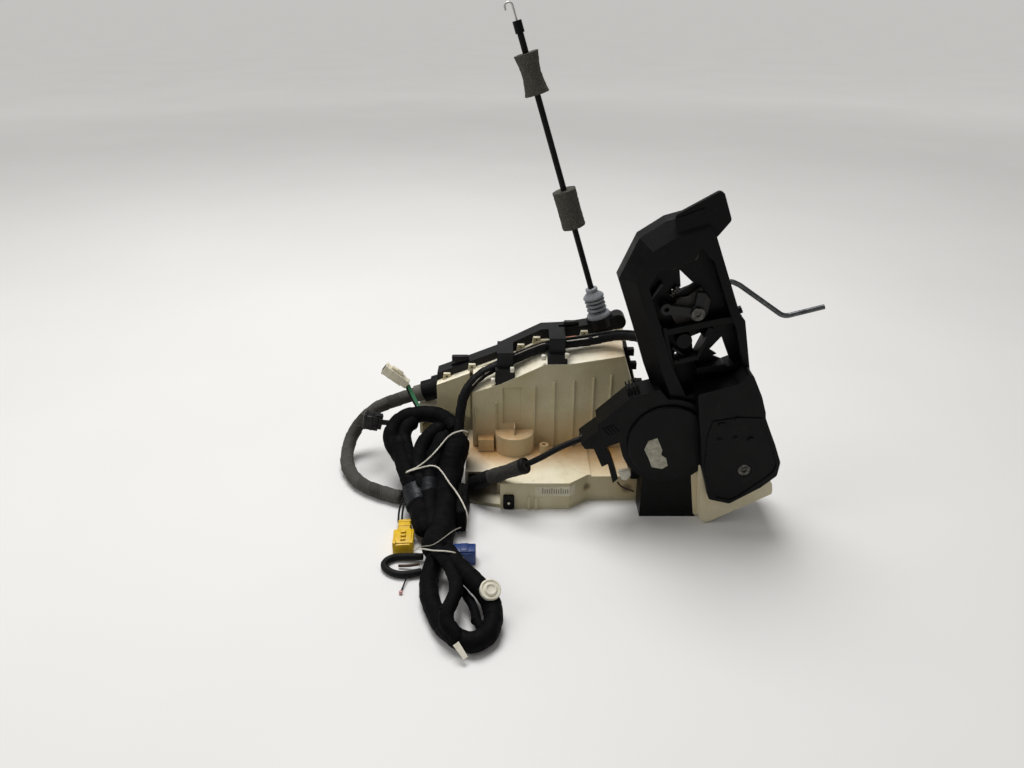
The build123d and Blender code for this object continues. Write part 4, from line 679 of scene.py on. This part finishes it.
def build_closing_foam():
    """Foam on the straight run of the closing cable, with a black band round its end."""
    run = along(CLOSING_ROUTE[2], CLOSING_ROUTE[3])
    rows = [(6.1 + 0.3 * sin(index * 0.5), 6.5 + index * 1.9) for index in range(22)]
    tube = turned([(0, 6), (4, 6)] + rows + [(6.2, 48.6), (3, 50), (0, 50)], 48)
    tube = placed(crumbled(tube, 0.0003, 380), run)
    add("closing_cable_foam", tube, CABLE_FOAM, replaces=["closing_foam_sleeve"],
                  smooth_below=60)
    rim = turned([(5.2, 5.2), (6.4, 5.4), (6.9, 6.4), (6.9, 9.4), (6.4, 10.2), (5.2, 10.2), (5.2, 5.2)], 40)
    add("closing_foam_band", placed(rim, run), SHEATH)


def build_trunk_pad():
    pad = box(-84.6, -76.4, -92.6, -50.4, 1.9, 23.6)
    bmesh.ops.subdivide_edges(pad, edges=pad.edges, cuts=14, use_grid_fill=True)
    for _ in range(4):
        bmesh.ops.smooth_vert(pad, verts=pad.verts, factor=0.5,
                              use_axis_x=True, use_axis_y=True, use_axis_z=True)
    crumbled(pad, 0.0012, 90)
    add("trunk_pad", crumbled(pad, 0.0004, 420), PAD_FOAM,
                  replaces=["trunk_foam_pad"], smooth_below=70)


# ---------------------------------------------------------------- bellows
def build_bellows():
    crests = (10.3, 14.2, 18.1)
    boot = [(0, 0.2), (9.4, 0.2), (10.3, 1.4), (10.4, 4.2), (9.9, 5.8), (8.6, 6.9), (6.0, 7.4)]
    for crest in crests:
        boot += [(5.6, crest - 1.7), (8.5, crest - 0.7), (8.9, crest), (8.5, crest + 0.7), (5.6, crest + 1.5)]
    boot += [(5.4, 20.6), (9.1, 20.9), (9.3, 21.8), (8.7, 23.0), (4.9, 26.4), (4.3, 27.0), (4.5, 27.4),
             (5.3, 27.6), (5.4, 29.6), (4.9, 30), (0, 30)]
    add("bellows_boot", placed(turned(boot, 48), RELEASE), BELLOWS,
        replaces=["cable_bellows"], smooth_below=50)
    # A black core between the crests: partly the boot's dark inside, partly painted shade in the gaps between
    # the rings.
    core = [turned([(0, crest - 2.2), (6.1, crest - 2.2), (6.1, crest - 1.2), (0, crest - 1.2)], 36)
            for crest in crests]
    add("bellows_folds", placed(joined(*core), RELEASE), GASKET)


# ---------------------------------------------------------------- latch cover and drive
def build_cover_rim():
    """The raised border of the gear cover."""
    rim_width, rim_height = 1.5, 0.9
    face = [(27, 83), (35, 94), (54, 89.2), (70, 81.5), (70.5, 65), (71, 50), (69.8, 36.5), (65, 30.5),
            (57, 27), (32.5, 19.2), (24.5, 19), (15, 26), (13.4, 31), (17.2, 59)]
    bm = bmesh.new()
    outline = bm.faces.new([bm.verts.new((x * MM, COVER_FACE * MM, z * MM)) for x, z in face])
    bm.normal_update()
    border = bmesh.ops.inset_individual(bm, faces=[outline], thickness=rim_width * MM,
                                        use_even_offset=True)["faces"]
    bmesh.ops.delete(bm, geom=[outline], context="FACES_ONLY")
    risen = bmesh.ops.extrude_face_region(bm, geom=border)["geom"]
    bmesh.ops.translate(bm, vec=(0, -rim_height * MM, 0),
                        verts=[part for part in risen if isinstance(part, bmesh.types.BMVert)])
    bmesh.ops.recalc_face_normals(bm, faces=bm.faces)
    add("cover_rim", placed(bm, CARRIER), BLACK, smooth_below=30)


def build_cover_studs():
    studs = []
    for x, z in ((46.3, 72.7), (34.5, 76.2)):
        seat = Matrix.Translation(Vector((x, COVER_FACE, z)) * MM) @ Matrix.Rotation(radians(90), 4, "X")
        studs.append(placed(turned([(0, 1.3), (1.2, 1.2), (2.0, 0.6), (2.0, 0), (0, 0)], 20), seat))
    add("cover_studs", placed(joined(*studs), CARRIER), BLACK)


def build_drive_marks():
    """Old adhesive on the drive, a broken clip beside it and a bent rusty spring below."""
    bm = moulding([(-16.5, 91), (-9, 90.6), (-9, 79), (-11.4, 75), (-8.8, 70.4), (-9.9, 63.4), (-15, 62.4),
                   (-22, 67.2), (-21.6, 77), (-22, 84.8)], DRIVE_FACE - 0.55, DRIVE_FACE, 0.15, 1)
    add("old_adhesive", placed(bm, CARRIER), RESIDUE)
    gap = moulding([(-50.4, 63), (-40.8, 60.6), (-41.4, 55.6), (-46.6, 52), (-50, 54.4)], -56, -52, 0.4)
    add("broken_clip", placed(gap, CARRIER), IVORY)
    bent = [(48.2, -52, 24.9), (49.8, -52.5, 21.8), (56.5, -52.5, 17.6), (62.5, -52, 15.4)]
    round_cord("rusty_spring", bent, 0.0016, RUST)


# ---------------------------------------------------------------- small black mouldings
def build_dish_details():
    """A stepped lip, a worn backing plate and a small coil spring inside the carrier's dish."""
    # The lip takes the plate's lighter colour as a painted highlight along its edge.
    lip = moulding([(36, 216.6), (48.2, 210.4), (67.2, 210.8), (70.2, 217), (66, 220.4), (50, 219)],
                   -59.5, DISH_FLOOR, 0.6)
    add("dish_lip", placed(lip, CARRIER), WORN_PLATE_AND_LIP_HIGHLIGHT)
    plate = moulding([(35, 180), (44, 186.5), (52, 184.6), (62.6, 188.4), (66, 176), (60.6, 166), (56, 160.4),
                      (46, 163), (36, 160.6)], -56.5, DISH_FLOOR, 0.6)
    add("worn_backing_plate", placed(plate, CARRIER), WORN_PLATE_AND_LIP_HIGHLIGHT)
    pitch, half_length = 2.4, 4.6
    profile = [(0, -half_length)]
    for turn in range(4):
        foot = pitch * turn - half_length
        profile += [(1.7, foot), (2.7, foot + 0.4), (2.7, foot + 1.2), (1.7, foot + 1.6)]
    coil = turned(profile + [(0, 4.2)], 20)
    seat = CARRIER @ Matrix.Translation((0.0438, -0.0534, 0.1925)) @ Matrix.Rotation(radians(55), 4, "Y")
    add("coil_spring", placed(coil, seat), DARK_SCREW)
    ribs = [moulding(outline, -58, DISH_FLOOR, 0.4) for outline in (
        [(24, 195), (26, 194), (38, 202), (36.6, 204)], [(26, 151), (28, 152), (34.4, 141), (32.6, 140)])]
    add("dish_ribs", placed(joined(*ribs), CARRIER), WORN_BLACK)


def build_roof_lugs():
    lugs = [box(x - 1.9, x + 1.9, 5.4, 9.4, z - 3, z + 1.6, 0.9)
            for x, z in ((-12.9, 113), (7.2, 114.6), (-56.5, 91), (-39.7, 101.4))]
    add("roof_lugs", joined(*lugs), IVORY)


def build_duct_tabs():
    for name, tab in (("left", box(-94.4, -79.1, 41.5, 46.5, 92.4, 98.2, 1.2)),
                      ("right", box(6, 19.2, 41.5, 46.5, 127.2, 131.6, 1.2))):
        add("duct_tab_" + name, tab, BLACK_DUCT)


# ---------------------------------------------------------------- label and lower box
def build_label():
    """Blank paper that wraps the box's corner, with a row of plain ticks."""
    bm = bmesh.new()
    columns = [(-20.5, LABEL_FACE), (8, LABEL_FACE), (13.2, -51.05)]
    lower, upper = ([bm.verts.new((x * MM, y * MM, height * MM)) for x, y in columns]
                    for height in (12.9, 22.6))
    for side in (0, 1):
        bm.faces.new((lower[side], lower[side + 1], upper[side + 1], upper[side]))
    bmesh.ops.recalc_face_normals(bm, faces=bm.faces)
    bmesh.ops.solidify(bm, geom=bm.faces[:], thickness=-0.00022)
    add("paper_label", bm, LABEL, smooth_below=20)
    first, step, width, ink = -14.6, 1.9, 0.75, (LABEL_FACE - 0.32, LABEL_FACE - 0.1)
    ticks = []
    for index in range(12):
        left, top = first + step * index, 20.8 if index % 4 == 0 else 19.6
        ticks.append(box(left, left + width, *ink, 15.4, top))
    add("label_ticks", joined(*ticks), INK)


def build_plug_pin():
    pin = turned([(0, 0.5), (1.0, 0.4), (1.2, 0), (0, 0)], 20)
    seat = Matrix.Translation((-0.0427, -0.0584, 0.0075)) @ Matrix.Rotation(radians(90), 4, "X")
    add("plug_pin", placed(pin, seat), IVORY)


# ---------------------------------------------------------------- connectors
def build_yellow_plug():
    lean = Matrix.Translation((-0.1252, -0.107, 0.0055)) @ Matrix.Rotation(radians(4), 4, "Z")
    shapes = [box(-8, 8, -11, 9.5, -5.4, 4.6, 0.7), box(-6.4, 6.4, -9.5, 8, 4.4, 5.6, 0.4),
              box(-7.9, -5.4, -10.9, -6, 4.4, 6.4, 0.4), box(5.4, 7.9, -10.9, -6, 4.4, 6.4, 0.4),
              box(-4.6, 4.6, 9, 24.8, -4.4, 3.4, 0.8), box(-5.4, 5.4, 9, 11.4, -4.9, 4.4, 0.5),
              box(-5.2, 5.2, 15.4, 17.2, -4.6, 3.9, 0.4), box(-5.2, 5.2, 21, 22.6, -4.6, 3.9, 0.4)]
    shapes += [box(-2.1, 2.1, y, y + 2.4, 5.4, 7.2, 0.5) for y in (-7.2, -2.4, 2.4)]
    add("yellow_plug_body", placed(joined(*shapes), lean), YELLOW,
        replaces=["connector_yellow"])
    gaps = [box(-2.0, 2.0, y, y + 1.2, 5.45, 5.75) for y in (-4.4, 0.4, 5.2)]
    add("yellow_plug_slots", placed(joined(*gaps), lean), GASKET)


def build_blue_plug():
    blue = Matrix.Translation((-0.0763, -0.1245, 0.0065))
    shapes = [box(-8.5, 8.5, -5, 5, -6.4, 6.3, 0.6), box(-7.6, 7.6, -5.9, -4.8, -4.6, 4.6, 0.4),
              box(-3, 3, -4.4, 4.6, 6.1, 6.9, 0.3), box(-8.9, -7.9, -4.2, 4.2, -3.5, 3.5, 0.3)]
    add("blue_plug_body", placed(joined(*shapes), blue), BLUE,
        replaces=["connector_blue"])


def build_cream_plug():
    lean = Matrix.Translation((-0.144, 0.030, 0.084)) @ Matrix.Rotation(radians(39), 4, "Y")
    shapes = [box(-12.9, 6, -4.4, 4.4, -4.4, 4.2, 0.6), box(5.5, 12.9, -3.7, 3.7, -3.9, 3.4, 0.5),
              box(-8, 4, -2.4, 2.4, 4, 6.2, 0.5), box(-3, 3.4, -1.2, 1.2, 6, 7, 0.3),
              box(-12.9, -11, -4.6, 4.6, -4.6, 4.5, 0.4), box(-6, -4.6, -4.7, 4.7, -4.6, 4.5, 0.3),
              box(6.2, 7.6, -4.3, 4.3, -4.4, 3.9, 0.3)]
    add("cream_plug_body", placed(joined(*shapes), lean), CREAM_PLUG,
        replaces=["connector_cream"])
    mouths = [box(-13.1, -12.7, -3.4, -0.5, -2.6, 2.4), box(-13.1, -12.7, 0.5, 3.4, -2.6, 2.4)]
    add("cream_plug_mouths", placed(joined(*mouths), lean), GASKET)
    for name, shift, material in (("green_wire", 0, GREEN_WIRE), ("green_wire_2", 1.6, GREEN_WIRE),
                                  ("black_wire", -1.7, SHEATH)):
        run = [(-134.6 + shift, 29.4, 75.8), (-132.5 + shift, 28, 71), (-128.5 + shift, 23, 64.5),
               (-124 + shift, 17.5, 59), (-121.5 + shift, 14.5, 56)]
        round_cord("plug_" + name, run, 0.0018, material)


def build_black_plug():
    lean = Matrix.Translation((-0.166, 0.020, 0.044)) @ Matrix.Rotation(radians(12), 4, "Y")
    shapes = [box(-8.4, 5.4, -5.8, 5.8, -7.3, 6.4, 0.8), box(5, 8.4, -4.6, 4.6, -5.8, 5, 0.6),
              box(-7.2, -5.6, -6, 6, -7.5, 7.4, 0.4), box(-1.6, -0.2, -6, 6, -7.5, 7.0, 0.4),
              box(1.6, 8, -2.6, 2.6, 6.6, 7.5, 0.3), box(1.4, 3, -2.6, 2.6, 5.8, 7.4, 0.3),
              box(-5.4, 3.6, -5.98, -5.4, 1.2, 2.4, 0.2), box(-5.4, 3.6, -5.98, -5.4, -3.6, -2.4, 0.2)]
    add("black_plug_body", placed(joined(*shapes), lean), GLOSS_BLACK,
        replaces=["connector_black"])
    run = [(-159.5, 18.5, 43.2), (-156, 16, 44.2), (-150, 11, 46.5), (-144.5, 6.5, 48.5)]
    round_cord("black_plug_wires", run, 0.0048, SHEATH)


def build_cap():
    """A round grommet cap that lies tilted on the harness."""
    tilt = Matrix.Translation((-0.055, -0.185, 0.023)) @ (
        Matrix.Rotation(radians(32), 4, "X") @ Matrix.Rotation(radians(12), 4, "Y"))
    disc = [(0, -7.8), (3.6, -7.8), (3.9, -7.2), (3.9, -2.2), (7.0, -2), (7.5, -1.2), (7.5, 1.2), (7.1, 1.9),
            (6.3, 2.1), (5.9, 1.4), (4.9, 1.3), (4.5, 2.2), (3.9, 2.9), (3.1, 2.9), (2.7, 2.1), (1.2, 2.0),
            (0, 2.0)]
    add("cap_body", placed(turned(disc, 48), tilt), IVORY, replaces=["harness_grommet"],
        smooth_below=40)


def build_tape_tag():
    tag = bmesh.new()
    corners = [(-78.4, -225.4, 11.6), (-74.8, -222.6, 12.4), (-68.6, -228.9, 5.4), (-71.4, -230.9, 4.6)]
    tag.faces.new([tag.verts.new(Vector(corner) * MM) for corner in corners])
    bmesh.ops.solidify(tag, geom=tag.faces[:], thickness=0.0009)
    add("tape_end_tag", tag, IVORY)


# ---------------------------------------------------------------- ties and thin wires
def build_ties():
    """Thin ties that lie over the bundles."""
    upper = [(-134, -40, 23), (-129.5, -44.5, 30), (-124.4, -43.6, 31.4), (-119.4, -42.6, 33.6),
             (-115, -40.5, 36), (-110.3, -38.8, 39.6), (-106, -35, 42.4), (-101.7, -29.9, 45.4),
             (-98.3, -25.4, 48.2), (-94.6, -22.6, 51.6), (-90, -21, 54.2), (-85.4, -19.6, 55),
             (-81.5, -17.4, 54.8), (-79, -12, 50)]
    front = [(-132.5, -42, 25), (-128.9, -46, 30.4), (-123.9, -45, 31.8), (-118.4, -44.4, 33.4),
             (-112.8, -44.6, 35.2), (-107.3, -44.6, 36.4), (-102, -47.5, 36.6), (-97, -54, 34.4),
             (-91.8, -62.6, 31), (-85.2, -70.5, 27), (-79.4, -84, 25.8), (-75.6, -92.6, 22),
             (-74.8, -95, 14), (-76.4, -95.6, 7)]
    for name, run in (("upper_tie", upper), ("front_tie", front)):
        round_cord(name, run, 0.0013, WHITE_TIE)
    cream = [(-116, -119, 6), (-111.5, -128, 14), (-105.5, -138, 21.8), (-98, -144.6, 25.2),
             (-88.7, -148.6, 28), (-80.8, -149.6, 27.4), (-75.5, -147.5, 21)]
    grey = [(-113.5, -121, 9), (-107, -133, 20.6), (-98.4, -139.6, 25.8), (-89.6, -127.6, 25.6),
            (-84, -113, 21), (-80.4, -101, 14)]
    round_cord("lower_tie", cream, 0.0011, WHITE_TIE)
    round_cord("lower_tie_end", grey, 0.0008, GREY_TIE)


def build_floor_wires():
    """The bare wire ends that lie beside the pigtail."""
    tail = [(-117.6, -146.6, 3.4), (-119, -152, 2.4), (-120.2, -158, 1.4), (-120.6, -160.6, 1.4)]
    round_cord("drain_wire", tail, 0.0011, SHEATH)
    tip = turned([(0, -1.6), (1.2, -1.0), (1.5, 0), (1.2, 1.0), (0, 1.6)], 16)
    add("drain_wire_tip", placed(tip, Matrix.Translation((-0.1208, -0.1625, 0.0016))), PINK_TIP)
    stub = [(-126, -133.3, 2.2), (-121, -133.8, 2.6), (-116, -134.2, 3.2), (-110, -134, 4.5)]
    round_cord("cut_wire", stub, 0.0022, RUST)


def build_loom_wires():
    """Loose wires along the roof loom: each is shifted off its line, between two shares of its length."""
    for name, shift, start, end, size, material in (
            ("white_wire", (0.6, -3.0, 3.4), 0.32, 0.41, 0.0010, WHITE_TIE),
            ("copper_wire", (-0.4, 2.2, 4.4), 0.38, 0.46, 0.0016, RED_WIRE),
            ("copper_wire_2", (0.2, 0.2, 4.8), 0.40, 0.46, 0.0016, RED_WIRE),
            ("black_wire", (0.2, -0.8, 4.8), 0.10, 0.62, 0.0021, SHEATH),
            ("black_wire_2", (-0.8, 3.4, 2.6), 0.12, 0.80, 0.0026, SHEATH),
            ("grey_wire", (-1.2, -2.6, 4.0), 0.48, 0.62, 0.0009, GREY_TIE),
            ("grey_wire_2", (2.4, -3.4, 1.6), 0.72, 0.82, 0.0010, GREY_TIE)):
        round_cord("loom_" + name, beside(LOOM_ROUTE, shift, start, end), size, material)


def build_plug_leads():
    for name, shift in (("left", -1.3), ("right", 1.6)):
        lead = [(-131 + shift, -83, 6.4), (-131.6 + shift, -77, 7.6), (-131.8 + shift, -69, 9.4),
                (-130.5 + shift, -60, 12), (-127 + shift, -52, 14)]
        round_cord("yellow_plug_lead_" + name, lead, 0.0017, SHEATH)


build_conduit_foam()
build_closing_foam()
build_trunk_pad()
build_bellows()
build_cover_rim()
build_cover_studs()
build_drive_marks()
build_dish_details()
build_roof_lugs()
build_duct_tabs()
build_label()
build_plug_pin()
build_yellow_plug()
build_blue_plug()
build_cream_plug()
build_black_plug()
build_cap()
build_tape_tag()
build_ties()
build_floor_wires()
build_loom_wires()
build_plug_leads()


# ---------------------------------------------------------------- floor, light and camera
def build_floor():
    """A pale table far wider than the view, that brightens away from the object."""
    half_width = 90
    f = Finish("pale_table", 0.6)
    pale = f.mix(f.ramp(f.noise(3, 3), 0.3, 0.7), (0.78, 0.77, 0.755), (0.75, 0.74, 0.725))
    f.colour(pale)
    path = f.node("ShaderNodeLightPath")
    seen = path.outputs["Is Camera Ray"]
    for ray in ("Is Glossy Ray", "Is Transmission Ray"):
        seen = f.math(seen, path.outputs[ray], "MAXIMUM")
    f.link(pale, f.shader.inputs["Emission Color"])
    away = f.node("ShaderNodeVectorMath", operation="LENGTH")
    f.link(f.place.outputs["Object"], away.inputs[0])
    glow = f.ramp(away.outputs["Value"], 0.7, 3.0, 0, 0.42)
    f.link(f.times(seen, glow), f.shader.inputs["Emission Strength"])
    bm = bmesh.new()
    bmesh.ops.create_grid(bm, x_segments=2, y_segments=2, size=half_width)
    mesh = bpy.data.meshes.new("table_top")
    bm.to_mesh(mesh)
    bm.free()
    mesh.materials.append(f.material)
    table = bpy.data.objects.new("table_top", mesh)
    bpy.context.scene.collection.objects.link(table)


def lamp(name, place, target, size, power):
    """A round lamp, size metres across and power watts, aimed at target."""
    light = bpy.data.lights.new(name, "AREA")
    light.shape = "DISK"
    light.size = size
    light.energy = power
    lamp_object = bpy.data.objects.new(name, light)
    lamp_object.location = place
    aim = Vector(target) - Vector(place)
    lamp_object.rotation_euler = aim.to_track_quat("-Z", "Y").to_euler()
    bpy.context.scene.collection.objects.link(lamp_object)


def build_light():
    world = bpy.data.worlds.new("studio")
    bpy.context.scene.world = world
    world.use_nodes = True
    sky = world.node_tree.nodes["Background"]
    sky.inputs["Color"].default_value = (0.82, 0.81, 0.79, 1)
    sky.inputs["Strength"].default_value = 0.34
    lamp("ceiling", (-0.25, 0.45, 1.6), (0, 0, 0.05), 1.0, 25)
    lamp("window", (-1.3, -0.6, 1.3), (0, 0, 0.08), 0.9, 5)
    bpy.context.scene.view_settings.view_transform = "Standard"


def build_camera():
    """The camera stands before the label face and looks down on the module."""
    pitch_below_level = 26
    camera = bpy.data.cameras.new("camera")
    camera.lens = 28.125
    camera.sensor_width = 36
    camera.clip_start = 0.01
    camera_object = bpy.data.objects.new("camera", camera)
    camera_object.location = (-0.040, -0.618, 0.392)
    camera_object.rotation_euler = (radians(90 - pitch_below_level), 0, 0)
    bpy.context.scene.collection.objects.link(camera_object)
    bpy.context.scene.camera = camera_object


build_floor()
build_light()
build_camera()
